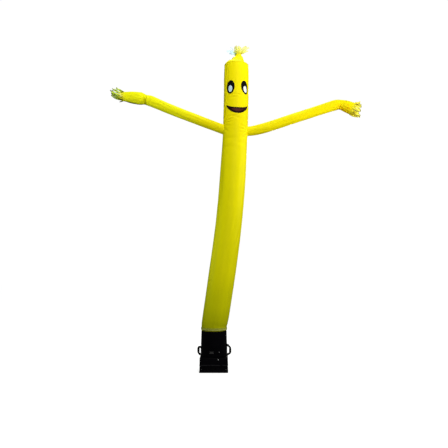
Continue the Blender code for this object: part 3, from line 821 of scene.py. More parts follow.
@functools.cache
def arm_tube(side):
    """A sleeve's tube, from inside the body to the cuff. side is left or right."""
    node = side + "_arm"
    low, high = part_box(node)
    root, cuff, way = (high.x, low.x, -1) if side == "left" else (low.x, high.x, 1)
    line = slice_line(node, RIGHT, root + way * 0.035, cuff - way * 0.100, 44)
    line.append(open_end(node, RIGHT * way))
    inside = line[0][0] + (line[0][0] - line[1][0]).normalized() * ARM_INSIDE
    line.insert(0, (inside, *line[0][1:]))
    plain = Tube(line)
    table, seed = SLEEVES[side]
    rows = creases_on(plain, RIGHT, table)
    slack = bpy.context.scene.dancer_cloth.slack

    def relief(along, around):
        radius = plain.ring(along)[1]
        free = clamped((plain.length - along) / SEAM_TAUT)
        total = crease_relief(rows, along, around, radius)
        total += slack * 0.9 * slack_relief(along, around, 2.4, seed)
        return total * (0.35 + 0.65 * free)

    return Tube(line, relief)


# ---------------------------------------------------------------- making meshes

def sheet_mesh(columns, rows, place, size):
    """A grid of cloth whose points are put in place by their shares across and along, 0 to 1.

    The UV map is in metres, size being the cloth's width and length.
    """
    bm = bmesh.new()
    uv = bm.loops.layers.uv.new("Cloth")
    bmesh.ops.create_grid(bm, x_segments=columns, y_segments=rows, size=1.0)
    for face in bm.faces:
        for loop in face.loops:
            across, along = (loop.vert.co.x + 1) / 2, (loop.vert.co.y + 1) / 2
            loop[uv].uv = (across * size[0], along * size[1])
    for vert in bm.verts:
        vert.co = place((vert.co.x + 1) / 2, (vert.co.y + 1) / 2)
    bmesh.ops.remove_doubles(bm, verts=bm.verts, dist=1e-6)
    return bm


def face_away(bm, middle):
    """Turns an open sheet's faces away from a middle, given as a function of a face's centre."""
    votes = sum(1 if face.normal.dot(face.calc_center_median() - middle(face.calc_center_median())) > 0
                else -1 for face in bm.faces[:200])
    if votes < 0:
        bmesh.ops.reverse_faces(bm, faces=bm.faces)


def add_piece(name, bm, surface, slot, nodes=(), sharp=40.0, closed=False):
    """Makes a piece of a mesh. It rides on the body and may stand for nodes of the frame."""
    if closed:
        bmesh.ops.recalc_face_normals(bm, faces=bm.faces)
    mesh = bpy.data.meshes.new(name)
    bm.to_mesh(mesh)
    bm.free()
    mesh.materials.append(surface)
    mesh.shade_smooth()
    mesh.set_sharp_from_angle(angle=math.radians(sharp))
    piece = bpy.data.objects.new(name, mesh)
    bpy.context.scene.collection.objects.link(piece)
    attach(piece, BODY)
    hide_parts(*nodes)
    return piece


def thicken(piece, thickness, offset=-1.0):
    """Gives an open sheet its thickness."""
    modifier = piece.modifiers.new("Cloth", "SOLIDIFY")
    modifier.thickness = thickness
    modifier.offset = offset
    modifier.use_even_offset = False
    modifier.use_rim = True


def row_places(length, step):
    """Places of rows along a cloth, even but for finer ones at both edges."""
    inner = [EDGE_ROWS[-1] + step * k for k in range(1, int((length - 2 * EDGE_ROWS[-1]) / step))]
    return [*EDGE_ROWS, *inner, *(length - at for at in reversed(EDGE_ROWS))]


def tube_mesh(tube, sides, rows, start=None):
    """A cloth tube, open at both ends, its own seam at the back.

    start(around) is where the cloth starts along the tube, if not at 0.
    """
    girth = 2 * math.pi * tube.ring(tube.length / 2)[1]

    def place(across, up):
        around = (across * 2 - 1) * math.pi
        along = rows[round(up * (len(rows) - 1))]
        if start:
            first = start(around)
            along = first + along * (tube.length - first) / rows[-1]
        return tube.point(along, around)

    return sheet_mesh(sides, len(rows) - 1, place, (girth, rows[-1]))


def strip_mesh(bm, points, outs, width, height):
    """Adds a low ridge of cloth along a line on a surface. A line that returns to its start is closed."""
    profile = ((-0.5, -0.15), (-0.36, 0.75), (0.0, 1.0), (0.36, 0.75), (0.5, -0.15))
    last = len(points) - 1
    verts = []
    for i, (point, out) in enumerate(zip(points, outs)):
        ahead = points[min(last, i + 1)] - points[max(0, i - 1)]
        if (points[0] - points[-1]).length < 1e-5 and i in (0, last):
            ahead = points[1] - points[last - 1]
        across = out.cross(ahead).normalized()
        verts.append([point + across * a * width + out * h * height for a, h in profile])
    part = sheet_mesh(len(profile) - 1, last, lambda u, v: verts[round(v * last)][round(u * 4)],
                      (width, line_length(points)))
    join(bm, part)


def join(bm, part):
    """Moves a mesh into another one."""
    mesh = bpy.data.meshes.new("part")
    part.to_mesh(mesh)
    part.free()
    bm.from_mesh(mesh)
    bpy.data.meshes.remove(mesh)


def line_length(points):
    return sum((b - a).length for a, b in zip(points, points[1:]))


def sew(bm, points, outs, pitch, off=0.0):
    """Adds a row of stitches along a line, at a distance to one side of it."""
    last = len(points) - 1
    due = pitch / 2
    gone = 0.0
    group = bmesh.new()
    for i in range(last):
        span = (points[i + 1] - points[i]).length
        if span < 1e-7:
            continue
        ahead = (points[i + 1] - points[i]) / span
        while due < gone + span:
            share = (due - gone) / span
            out = outs[i].lerp(outs[i + 1], share).normalized()
            across = out.cross(ahead).normalized()
            middle = points[i].lerp(points[i + 1], share) + across * off + out * THREAD * 0.25
            turn = Matrix((ahead, across, out)).transposed().to_4x4()
            size = Matrix.Diagonal((pitch * 0.36, THREAD, THREAD * 0.8, 1.0))
            bmesh.ops.create_icosphere(group, subdivisions=1, radius=1.0,
                                       matrix=Matrix.Translation(middle) @ turn @ size)
            due += pitch
            if len(group.verts) > STITCH_BATCH:
                join(bm, group)
                group = bmesh.new()
        gone += span
    join(bm, group)


# ---------------------------------------------------------------- materials

def feed(tree, node, **inputs):
    """Sets a node's inputs, each to a value or by a link from another node's output."""
    for label, value in inputs.items():
        set_socket(tree, node.inputs[label.replace("_", " ")], value)


def set_socket(tree, socket, value):
    """Links a socket or gives it a value. A colour may leave out its alpha."""
    if isinstance(value, bpy.types.NodeSocket):
        tree.links.new(value, socket)
    elif socket.type == "RGBA" and len(value) == 3:
        socket.default_value = (*value, 1.0)
    else:
        socket.default_value = value


def add_node(tree, kind, settings=None, **inputs):
    """A shader node with its settings and its inputs."""
    made = tree.nodes.new(kind)
    for name, value in (settings or {}).items():
        setattr(made, name, value)
    feed(tree, made, **inputs)
    return made


def math_node(tree, operation, *values):
    made = add_node(tree, "ShaderNodeMath", {"operation": operation})
    for socket, value in zip(made.inputs, values):
        set_socket(tree, socket, value)
    return made.outputs[0]


def times(tree, one, other):
    return math_node(tree, "MULTIPLY", one, other)


def scaled(tree, value, factor, start):
    """A value times a factor, plus a start."""
    return math_node(tree, "MULTIPLY_ADD", value, factor, start)


def mix_colours(tree, factor, one, other):
    made = add_node(tree, "ShaderNodeMix", {"data_type": "RGBA"})
    for k, value in ((0, factor), (6, one), (7, other)):
        set_socket(tree, made.inputs[k], value)
    return made.outputs[2]


def ramp(tree, factor, *stops):
    """A smooth change of value between stops of (place, value)."""
    made = tree.nodes.new("ShaderNodeValToRGB")
    made.color_ramp.interpolation = "EASE"
    elements = made.color_ramp.elements
    for k, (place, value) in enumerate(stops):
        element = elements[k] if k < 2 else elements.new(place)
        element.position = place
        element.color = (value, value, value, 1.0)
    tree.links.new(factor, made.inputs[0])
    return made.outputs[0]


def noise_node(tree, place, scale, detail, **more):
    return add_node(tree, "ShaderNodeTexNoise", Vector=place, Scale=scale, Detail=detail, **more).outputs[0]


def split_node(tree, vector):
    """The three parts of a vector."""
    return add_node(tree, "ShaderNodeSeparateXYZ", Vector=vector).outputs


def object_place(tree):
    return add_node(tree, "ShaderNodeTexCoord").outputs["Object"]


def cloth_uv(tree):
    return add_node(tree, "ShaderNodeUVMap", {"uv_map": "Cloth"}).outputs[0]


def attribute(tree, name):
    return add_node(tree, "ShaderNodeAttribute", {"attribute_name": name}).outputs["Fac"]


def new_group(name, inputs, outputs):
    """An empty node group and its input and output nodes. An input without a value is a vector."""
    group = bpy.data.node_groups.new(name, "ShaderNodeTree")
    for label, value in inputs.items():
        kind = "NodeSocketVector" if value is None else "NodeSocketFloat"
        socket = group.interface.new_socket(label, in_out="INPUT", socket_type=kind)
        if value is not None:
            socket.default_value = value
    for label in outputs:
        group.interface.new_socket(label, in_out="OUTPUT", socket_type="NodeSocketFloat")
    return group, group.nodes.new("NodeGroupInput").outputs, group.nodes.new("NodeGroupOutput")


def use_group(tree, group, **inputs):
    return add_node(tree, "ShaderNodeGroup", {"node_tree": group}, **inputs).outputs


@functools.cache
def ripstop_group():
    """Ripstop weave: a square grid of thicker threads, and a soft crumple."""
    group, given, put = new_group(
        "Ripstop weave", {"UV": None, "Place": None, "Cell": WEAVE_CELL, "Thread": WEAVE_THREAD},
        ("Threads", "Crumple", "Height"))
    parts = split_node(group, given["UV"])
    inner = math_node(group, "SUBTRACT", 0.5, given["Thread"])
    lines = []
    for axis in (0, 1):
        share = math_node(group, "FRACT", math_node(group, "DIVIDE", parts[axis], given["Cell"]))
        edge = math_node(group, "ABSOLUTE", math_node(group, "SUBTRACT", share, 0.5))
        over = math_node(group, "MAXIMUM", math_node(group, "SUBTRACT", edge, inner), 0.0)
        lines.append(math_node(group, "DIVIDE", over, given["Thread"]))
    threads = math_node(group, "MAXIMUM", *lines)
    fine = noise_node(group, given["Place"], 9.0, 1.0, Roughness=0.40, Distortion=0.4)
    slow = noise_node(group, given["Place"], 3.4, 1.5)
    crumple = math_node(group, "ADD", times(group, fine, 0.45), times(group, slow, 0.55))
    height = math_node(group, "ADD", times(group, threads, THREAD_HEIGHT), crumple)
    feed(group, put, Threads=threads, Crumple=crumple, Height=height)
    return group


@functools.cache
def weathering_group():
    """Painted light and grime on the cloth: painted shade that darkens it towards the bottom, grime and
    painted shade over the hem, a painted warm glow in the right cuff's folds, painted greener light on the
    left side, and painted shade on the hem's free edge under the strap and in the left wrist's crease."""
    group, given, put = new_group("Weathering", {"Place": None}, [label for label, _, _ in WEATHER])
    place = given["Place"]
    sideways, _, height = split_node(group, place)
    share = math_node(group, "DIVIDE", height, FULL_HEIGHT)
    half = times(group, height, 0.5)
    uneven = scaled(group, noise_node(group, place, 3.2, 3.0), 0.5, -0.25)
    # Painted shade that darkens the cloth towards the bottom, fullest low down
    fading = math_node(group, "ADD", share, times(group, uneven, 0.10))
    fade = ramp(group, fading, (0.11, 1.0), (0.34, 0.62), (0.58, 0.42), (0.80, 0.0))
    # Grime and painted shade, darker towards the hem
    low = math_node(group, "ADD", half, times(group, uneven, 0.08))
    grime = ramp(group, low, (0.36, 1.0), (0.40, 0.86), (0.445, 0.64), (0.58, 0.31), (0.90, 0.0))
    # Painted light: a warm orange glow in spots under the right cuff's folds
    reach = math_node(group, "DIVIDE", sideways, FULL_REACH)
    cuff = ramp(group, reach, (0.735, 0.0), (0.765, 1.0), (0.812, 1.0), (0.845, 0.0))
    under = ramp(group, share, (0.784, 1.0), (0.806, 0.0))
    streak = add_node(group, "ShaderNodeMapping", Vector=place, Scale=(1.0, 0.6, 0.35)).outputs[0]
    spots = ramp(group, noise_node(group, streak, 52.0, 1.0), (0.46, 0.0), (0.56, 1.0))
    stain = times(group, times(group, cuff, under), spots)
    # Painted light: the cloth greener towards the left side
    green = ramp(group, times(group, sideways, -0.5), (0.02, 0.0), (0.42, 1.0))
    # Painted shade in the left wrist's crease
    aside = math_node(group, "ABSOLUTE", math_node(group, "ADD", sideways, WRIST_CREASE))
    crease = ramp(group, math_node(group, "DIVIDE", aside, WRIST_DIRT), (0.25, 1.0), (0.95, 0.0))
    crease = times(group, crease, ramp(group, share, (0.806, 0.55), (0.824, 0.0)))
    # Painted shade on the hem's free edge under the strap
    hem = ramp(group, half, (0.353, 0.80), (0.361, 0.0))
    feed(group, put, Fade=fade, Green=green, Grime=grime, Stain=stain,
         Dirt=math_node(group, "MAXIMUM", crease, hem))
    return group


@functools.cache
def webbing_group():
    """Woven webbing: ribs across it, with a herringbone slant."""
    group, given, put = new_group("Webbing ribs", {"UV": None, "Rib": WEBBING_RIB}, ("Rib mask", "Height"))
    across, along, _ = split_node(group, given["UV"])
    slant = math_node(group, "PINGPONG", across, WEBBING_SLANT)
    run = math_node(group, "ADD", along, times(group, slant, 0.5))
    turn = math_node(group, "DIVIDE", run, math_node(group, "DIVIDE", given["Rib"], 2 * math.pi))
    mask = scaled(group, math_node(group, "SINE", turn), 0.5, 0.5)
    feed(group, put, Rib_mask=mask, Height=mask)
    return group


@functools.cache
def moulding_group():
    """Moulded plastic: a fine pebble grain, slow gloss patches, dust low down, and a painted highlight
    along the housing's rib.
    """
    group, given, put = new_group("Moulded surface", {"Place": None, "Grain": 420.0, "Dust top": 0.12},
                                  ("Gloss", "Dust", "Height"))
    place = given["Place"]
    pebble = add_node(group, "ShaderNodeTexVoronoi", Vector=place, Scale=given["Grain"]).outputs[0]
    cloud = noise_node(group, place, 9.0, 5.0)
    scuff = noise_node(group, place, 64.0, 3.0, Distortion=1.2)
    height = split_node(group, place)[2]
    low = math_node(group, "SUBTRACT", 1.0, math_node(group, "DIVIDE", height, given["Dust top"]))
    low = math_node(group, "MAXIMUM", low, 0.0)
    dust = times(group, low, ramp(group, scuff, (0.46, 0.0), (0.66, 0.6)))
    # Painted highlight: a paler band along the housing's rib
    rib = ramp(group, times(group, height, 4.0), (0.455, 0.0), (0.485, 1.0), (0.515, 1.0), (0.545, 0.0))
    rib = times(group, rib, ramp(group, cloud, (0.38, 0.0), (0.52, 0.85)))
    feed(group, put, Gloss=cloud, Dust=math_node(group, "MAXIMUM", dust, rib), Height=pebble)
    return group


def new_material(name, **constants):
    """A material with a Principled shader whose constants are set on its own sockets."""
    made = bpy.data.materials.new(name)
    made.use_nodes = True
    shader = made.node_tree.nodes["Principled BSDF"]
    feed(made.node_tree, shader, **constants)
    return made, made.node_tree, shader


def bump(tree, height, distance):
    return add_node(tree, "ShaderNodeBump", Strength=1.0, Distance=distance, Height=height).outputs[0]


def tinted(colour, share):
    return tuple(share * part for part in colour)


def cloth_material(name, colour, shade, cell, relief, roughness, weather=()):
    """Coated ripstop: two near colours, a thread grid, a soft crumple, and painted light and grime if
    they are given.
    """
    made, tree, shader = new_material(name, Specular_IOR_Level=0.05)
    place = object_place(tree)
    weave = use_group(tree, ripstop_group(), UV=cloth_uv(tree), Place=place, Cell=cell)
    # Painted shade: the shade colour goes where the crumple's bump is low, in its hollows
    tint = ramp(tree, weave["Crumple"], (0.36, 0.0), (0.64, 1.0))
    plain = mix_colours(tree, tint, shade, colour)
    if weather:
        # Painted light and grime, laid over the cloth's own colours
        wear = use_group(tree, weathering_group(), Place=place)
        for label, share, worn in weather:
            plain = mix_colours(tree, times(tree, wear[label], share), plain, worn)
    threads = times(tree, weave["Threads"], 0.10)
    low, high = roughness
    feed(tree, shader, Base_Color=mix_colours(tree, threads, plain, tinted(colour, 0.80)),
         Roughness=scaled(tree, weave["Crumple"], high - low, low),
         Normal=bump(tree, weave["Height"], relief))
    return made


@functools.cache
def yellow_nylon():
    cloth = bpy.context.scene.dancer_cloth
    return cloth_material("Yellow nylon", tuple(cloth.yellow), tuple(cloth.yellow_shade), WEAVE_CELL,
                          0.0006, (0.50, 0.64), WEATHER)


def patch_cloth(name, colour, shade):
    return cloth_material(name, colour, shade, PATCH_CELL, 0.0009, (0.46, 0.60))


@functools.cache
def seam_thread():
    """Sewing thread, a little paler than the cloth."""
    made, tree, shader = new_material("Yellow thread", Sheen_Weight=0.2)
    twist = noise_node(tree, object_place(tree), 900.0, 1.0)
    feed(tree, shader, Base_Color=mix_colours(tree, twist, (0.88, 0.78, 0.03), (0.66, 0.58, 0.01)),
         Roughness=scaled(tree, twist, 0.2, 0.5), Normal=bump(tree, twist, 0.0003))
    return made


@functools.cache
def ribbon_nylon(name, thin_colour, tip_colour, thin_alpha):
    """Thin ribbons: see-through and paler than the tube, with frayed tips. Some are of clear film."""
    made, tree, shader = new_material(name, Specular_IOR_Level=0.10)
    weave = use_group(tree, ripstop_group(), UV=cloth_uv(tree), Place=object_place(tree), Cell=WEAVE_CELL)
    tip, clear, edge = (attribute(tree, mark) for mark in RIBBON_MARKS)
    # Painted shade: darker where the crumple's bump is low
    colour = mix_colours(tree, weave["Crumple"], (0.86, 0.78, 0.01), (0.94, 0.84, 0.02))
    for place, stops, other in ((tip, ((0.10, 0.0), (0.60, 1.0)), thin_colour),
                                (tip, ((0.90, 0.0), (1.0, 1.0)), tip_colour),
                                (edge, ((0.70, 0.0), (1.0, 1.0)), tip_colour),
                                (clear, ((0.5, 0.0), (1.0, 1.0)), CLEAR_FILM)):
        colour = mix_colours(tree, ramp(tree, place, *stops), colour, other)
    dense = ramp(tree, tip, (0.0, 0.97), (0.25, 0.5 + 0.47 * thin_alpha), (0.8, thin_alpha))
    alpha = add_node(tree, "ShaderNodeMix", {"data_type": "FLOAT"})
    for k, value in ((0, clear), (2, dense), (3, CLEAR_ALPHA)):
        set_socket(tree, alpha.inputs[k], value)
    feed(tree, shader, Base_Color=colour, Alpha=alpha.outputs[0],
         Roughness=scaled(tree, weave["Crumple"], 0.15, 0.5),
         Normal=bump(tree, weave["Height"], 0.0004))
    return made


@functools.cache
def strap_webbing():
    made, tree, shader = new_material("Strap webbing", Sheen_Weight=0.08, Sheen_Roughness=0.6)
    uv = cloth_uv(tree)
    ribs = use_group(tree, webbing_group(), UV=uv)
    # Painted shade: the webbing's olive colours are its yellow darkened to the shade at the hem
    colour = mix_colours(tree, ribs["Rib mask"], (0.33, 0.355, 0.004), (0.43, 0.46, 0.009))
    edge = times(tree, split_node(tree, uv)[0], 25.0)
    selvedge = ramp(tree, edge, (0.0, 1.0), (0.22, 1.0), (0.32, 0.0))
    colour = mix_colours(tree, selvedge, colour, (0.62, 0.65, 0.15))
    dirt = ramp(tree, noise_node(tree, object_place(tree), 18.0, 4.0), (0.50, 0.0), (0.75, 0.6))
    feed(tree, shader, Base_Color=mix_colours(tree, dirt, colour, (0.22, 0.24, 0.05)),
         Roughness=scaled(tree, ribs["Rib mask"], 0.15, 0.68), Normal=bump(tree, ribs["Height"], 0.0008))
    return made


def plastic(name, colour, dust, grain=420.0, roughness=(0.40, 0.24), relief=0.00012):
    """Moulded plastic, glossier in slow patches, with a pebble grain, dust near the floor, and a painted
    highlight along the housing's rib.
    """
    made, tree, shader = new_material(name, Specular_IOR_Level=0.035)
    surface = use_group(tree, moulding_group(), Place=object_place(tree), Grain=grain)
    tone = mix_colours(tree, surface["Gloss"], tinted(colour, 0.75), tinted(colour, 1.3))
    low, rise = roughness
    feed(tree, shader, Base_Color=mix_colours(tree, times(tree, surface["Dust"], 0.55), tone, dust),
         Roughness=scaled(tree, surface["Gloss"], rise, low), Normal=bump(tree, surface["Height"], relief))
    return made


@functools.cache
def housing_black():
    # The dust colour also paints the highlight along the housing's rib
    return plastic("Housing black", tuple(bpy.context.scene.dancer_blower.black), (0.034, 0.032, 0.038))


@functools.cache
def grip_black():
    return plastic("Grip black", (0.0016, 0.0014, 0.0022), (0.01, 0.01, 0.01), grain=900.0,
                   roughness=(0.50, 0.2), relief=0.0002)


@functools.cache
def bright_metal():
    """Plated steel with fine turning marks and dull spots."""
    made, tree, shader = new_material("Plated steel")
    place = object_place(tree)
    dull = noise_node(tree, place, 60.0, 3.0)
    feed(tree, shader, Base_Color=mix_colours(tree, dull, (0.34, 0.34, 0.36), (0.24, 0.24, 0.25)),
         Metallic=ramp(tree, dull, (0.30, 0.45), (0.80, 0.20)),
         Roughness=scaled(tree, dull, 0.30, 0.16),
         Normal=bump(tree, noise_node(tree, place, 1400.0, 2.0), 0.00008))
    return made


@functools.cache
def plate_grey():
    """Brushed grey plate, blank."""
    made, tree, shader = new_material("Plate grey", Specular_IOR_Level=0.5)
    along = add_node(tree, "ShaderNodeMapping", Vector=object_place(tree), Scale=(30.0, 30.0, 900.0))
    brushed = noise_node(tree, along.outputs[0], 1.0, 3.0)
    feed(tree, shader, Base_Color=mix_colours(tree, brushed, (0.050, 0.048, 0.052), (0.078, 0.075, 0.080)),
         Metallic=ramp(tree, brushed, (0.3, 0.55), (0.8, 0.8)),
         Roughness=scaled(tree, brushed, 0.25, 0.32), Normal=bump(tree, brushed, 0.00008))
    return made


# ---------------------------------------------------------------- pieces

def away_from(tube, axis):
    """For face_away: the point of a tube's middle line that is level with a face's centre."""
    return lambda co: tube.beside(co, axis)[0]


def cloth_piece(name, node, bm, tube, axis):
    """A piece of the yellow cloth, made of an open mesh round a tube's line."""
    face_away(bm, away_from(tube, axis))
    piece = add_piece(name, bm, yellow_nylon(), "yellow_nylon", (node,))
    thicken(piece, bpy.context.scene.dancer_cloth.thickness)
    return piece


def make_body():
    """The tube's cloth, with holes into the sleeves."""
    tube = body_tube()
    bm = tube_mesh(tube, BODY_SIDES, row_places(tube.length, BODY_ROW),
                   lambda around: HEM_SIDE_LIFT * math.sin(around) ** 2)
    holes = [face for face in bm.faces if inside_a_sleeve(face.calc_center_median())]
    bmesh.ops.delete(bm, geom=holes, context="FACES")
    return cloth_piece("body_cloth", "body_tube", bm, tube, UP)


def inside_a_sleeve(point):
    """Whether a point of the tube's cloth lies well inside the mouth of a sleeve."""
    for side in SLEEVES:
        (start, radius), (further, _) = arm_tube(side).line[:2]
        ahead = (further - start).normalized()
        run = (point - start).dot(ahead)
        if 0.0 < run and (point - start - ahead * run).length < radius - HOLE_MARGIN:
            return True
    return False


@functools.cache
def sleeve_roots(side):
    """Where a sleeve's cloth starts along it, on the tube's outer face, at each of its sides."""
    sleeve, body = arm_tube(side), body_tube()
    starts = {}
    for k in range(ARM_SIDES + 1):
        around = (2 * k / ARM_SIDES - 1) * math.pi
        low, high = 0.0, ROOT_SEARCH
        for _ in range(26):
            trial = (low + high) / 2
            point = sleeve.point(trial, around)
            middle, radius = body.beside(point, UP)
            if math.hypot(point.x - middle.x, point.y) < radius + ROOT_LIFT:
                low = trial
            else:
                high = trial
        starts[k % ARM_SIDES] = low
    return starts


def make_sleeve(side):
    tube = arm_tube(side)
    starts = sleeve_roots(side)

    def start(around):
        return starts[round((around / math.pi + 1) * ARM_SIDES / 2) % ARM_SIDES]

    rows = row_places(tube.length - min(starts.values()), ARM_ROW)
    bm = tube_mesh(tube, ARM_SIDES, rows, start)
    return cloth_piece(side + "_sleeve", side + "_arm", bm, tube, RIGHT)


def make_crown():
    tube = crown_tube()
    rows = [tube.length * k / CROWN_ROWS for k in range(CROWN_ROWS + 1)]
    return cloth_piece("crown_cloth", "crown", tube_mesh(tube, CROWN_SIDES, rows), tube, UP)


def ring_line(tube, along, sides, lift=0.0):
    """A closed line round a tube, and its outward directions."""
    turns = [(2 * k / sides - 1) * math.pi for k in range(sides + 1)]
    return [tube.point(along, turn, lift) for turn in turns], [tube.outward(along, turn) for turn in turns]


def long_line(tube, around, start, end, step):
    """A line along a tube, and its outward directions."""
    count = max(2, round((end - start) / step))
    places = [start + (end - start) * k / count for k in range(count + 1)]
    return [tube.point(at, around) for at in places], [tube.outward(at, around) for at in places]


def root_line(side):
    """The closed line where a sleeve joins the tube, and directions out of the corner between them."""
    sleeve, body = arm_tube(side), body_tube()
    starts = sleeve_roots(side)
    points, outs = [], []
    for k in range(ARM_SIDES + 1):
        around = (2 * k / ARM_SIDES - 1) * math.pi
        at = starts[k % ARM_SIDES]
        point = sleeve.point(at, around)
        middle, _ = body.beside(point, UP)
        away = Vector((point.x - middle.x, point.y, 0.0)).normalized()
        points.append(point)
        outs.append((away + sleeve.outward(at, around)).normalized())
    return points, outs


def make_seams():
    """Felled seams with two rows of stitches, and turned hems with one."""
    cloth = bpy.context.scene.dancer_cloth
    width, pitch = cloth.seam_width, cloth.stitch_pitch
    body, crown = body_tube(), crown_tube()
    seams, threads = bmesh.new(), bmesh.new()
    lines = [
        long_line(body, math.pi, SEAM_END, body.length - SEAM_END, 0.02),
        ring_line(body, body.length - width * 0.55, BODY_SIDES),
        root_line("left"),
        root_line("right"),
    ]
    hems = [ring_line(body, width * 1.3, BODY_SIDES, HEM_LIFT),
            ring_line(crown, crown.length - width, CROWN_SIDES, HEM_LIFT)]
    for side in SLEEVES:
        sleeve = arm_tube(side)
        back = sleeve_roots(side)[0] + 0.006
        lines.append(long_line(sleeve, math.pi, back, sleeve.length - SEAM_END, 0.014))
        hems.append(ring_line(sleeve, sleeve.length - width, ARM_SIDES, HEM_LIFT))
    for points, outs in lines:
        strip_mesh(seams, points, outs, width, SEAM_HEIGHT)
        raised = [p + out * SEAM_HEIGHT for p, out in zip(points, outs)]
        for off in (-0.30, 0.30):
            sew(threads, raised, outs, pitch, off * width)
    for points, outs in hems:
        strip_mesh(seams, points, outs, HEM_WIDTH, HEM_HEIGHT)
        sew(threads, [p + out * HEM_HEIGHT for p, out in zip(points, outs)], outs, pitch)
    strips = add_piece("cloth_seams", seams, yellow_nylon(), "yellow_nylon")
    stitches = add_piece("seam_stitches", threads, seam_thread(), "yellow_nylon", closed=True)
    return strips, stitches


def ribbon_path(root, outward, axis, length, outwards, upwards, vary, waving):
    """The ribbon's own line: its points with their headings, waving as it goes."""
    across = axis.cross(outward).normalized()
    swing = 2 * math.pi * vary
    points, headings = [root], [axis]
    for j in range(1, RIBBON_STEPS + 1):
        share = j / RIBBON_STEPS
        wave = (across + outward) * math.sin(swing + 6.0 * share) * waving
        lean = outward * outwards + UP * upwards * share ** 1.5
        heading = (axis + lean + wave).normalized()
        points.append(points[-1] + heading * length / RIBBON_STEPS)
        headings.append(heading)
    return points, headings, across


def make_ribbon(bm, root, outward, axis, width, flare, split, row, vary, clear):
    """One ribbon: a thin strip, cupped across, slit in two, fluttering more towards its frayed tips."""
    at, length, outwards, upwards = row
    strand = at in STRANDS
    if length < 0:
        axis, length = -axis, -length
    if strand:
        width *= STRAND_WIDTH
    waving = STRAND_WAVE if strand else RIBBON_WAVE
    points, headings, across = ribbon_path(root, outward, axis, length, outwards, upwards, vary, waving)
    line = Tube([(point, 0.0) for point in points])
    facing = RIBBON_FACING * across.dot(FRONT)

    def place(half, span, u, v):
        middle = line.middle(v * line.length)[0]
        i = min(RIBBON_STEPS - 1, int(v * RIBBON_STEPS))
        heading = headings[i].lerp(headings[i + 1], v * RIBBON_STEPS - i).normalized()
        normal = across.cross(heading).normalized()
        flat = heading.cross(normal)
        side = (u - 0.5) * span + half / 2
        slit = max(0.0, v - RIBBON_SLIT)
        narrow = 1.0 + flare * v
        sway = math.sin(2 * math.pi * (vary + 0.8 * v + 0.2 * half))
        turn = facing * min(1.0, 2.2 * v) + RIBBON_SWAY * sway * v + RIBBON_TWIST * split * half * slit
        flat, normal = (flat * math.cos(turn) + normal * math.sin(turn),
                        normal * math.cos(turn) - flat * math.sin(turn))
        cup = RIBBON_CUP * width * (4 * side * side - 0.5) * math.sin(2.2 * v + vary * 6)
        flutter = RIBBON_FLUTTER * v * math.sin(14 * v + 9 * vary + 2.4 * side)
        fray = RIBBON_FRAY * width * v ** 6 * math.sin(40 * u + 30 * vary)
        away = side * narrow + half * split * slit
        lag = heading * RIBBON_LAG * length * half * slit
        return middle + flat * away * width + normal * (cup * v + flutter) + heading * fray - lag

    halves = (0.0,) if strand else (-0.5, 0.5)
    for half in halves:
        span = RIBBON_SPAN / len(halves)
        part = sheet_mesh(RIBBON_COLUMNS // len(halves), RIBBON_ROWS, functools.partial(place, half, span),
                          (width * span, length))
        tips, clears, edges = (part.verts.layers.float.new(mark) for mark in RIBBON_MARKS)
        for vert in part.verts:
            vert[tips] = min(1.0, (vert.co - points[0]).length / length)
            vert[clears] = clear
            # A strand takes the dark edge colour all over: painted shade under the sleeve
            vert[edges] = 1.0 if vert.is_boundary or strand else 0.0
        join(bm, part)


def make_fringe(name, node, tube, ribbons, shape, surface, clears):
    """A narrow band at the open edge, and the ribbons that hang or fly from it."""
    middle, radius, ahead, _ = tube.ring(tube.length)
    start = middle + ahead * (CAD_CLOTH + CAD_GAP)
    bm = bmesh.new()

    def band(u, v):
        around = (u * 2 - 1) * math.pi
        ripple = BAND_RIPPLE * math.sin(BAND_RIPPLES * around)
        reach = radius - BAND_INWARD + BAND_OPENING * min(1.0, v * 2.5) + ripple
        forward = BAND_LENGTH * v - BAND_TUCK * (1 - v)
        return start + tube.outward(tube.length, around) * reach + ahead * forward

    ring = sheet_mesh(BAND_SIDES, 5, band, (2 * math.pi * radius, BAND_LENGTH))
    for mark in RIBBON_MARKS:
        ring.verts.layers.float.new(mark)
    join(bm, ring)
    spacing, fullness, flare, split = shape
    width = math.radians(spacing) * radius * fullness
    for k, row in enumerate(ribbons):
        outward = tube.outward(tube.length, math.radians(row[0]))
        root = start + outward * (radius - BAND_SUNK) + ahead * (BAND_LENGTH - BAND_OVERLAP)
        clear = clears.get(row[0], 0.0)
        make_ribbon(bm, root, outward, ahead, width, flare, split, row, (k * GOLDEN) % 1.0, clear)
    fringe = add_piece(name, bm, surface, "yellow_nylon", (node,))
    thicken(fringe, RIBBON_CLOTH, 0.0)
    return fringe


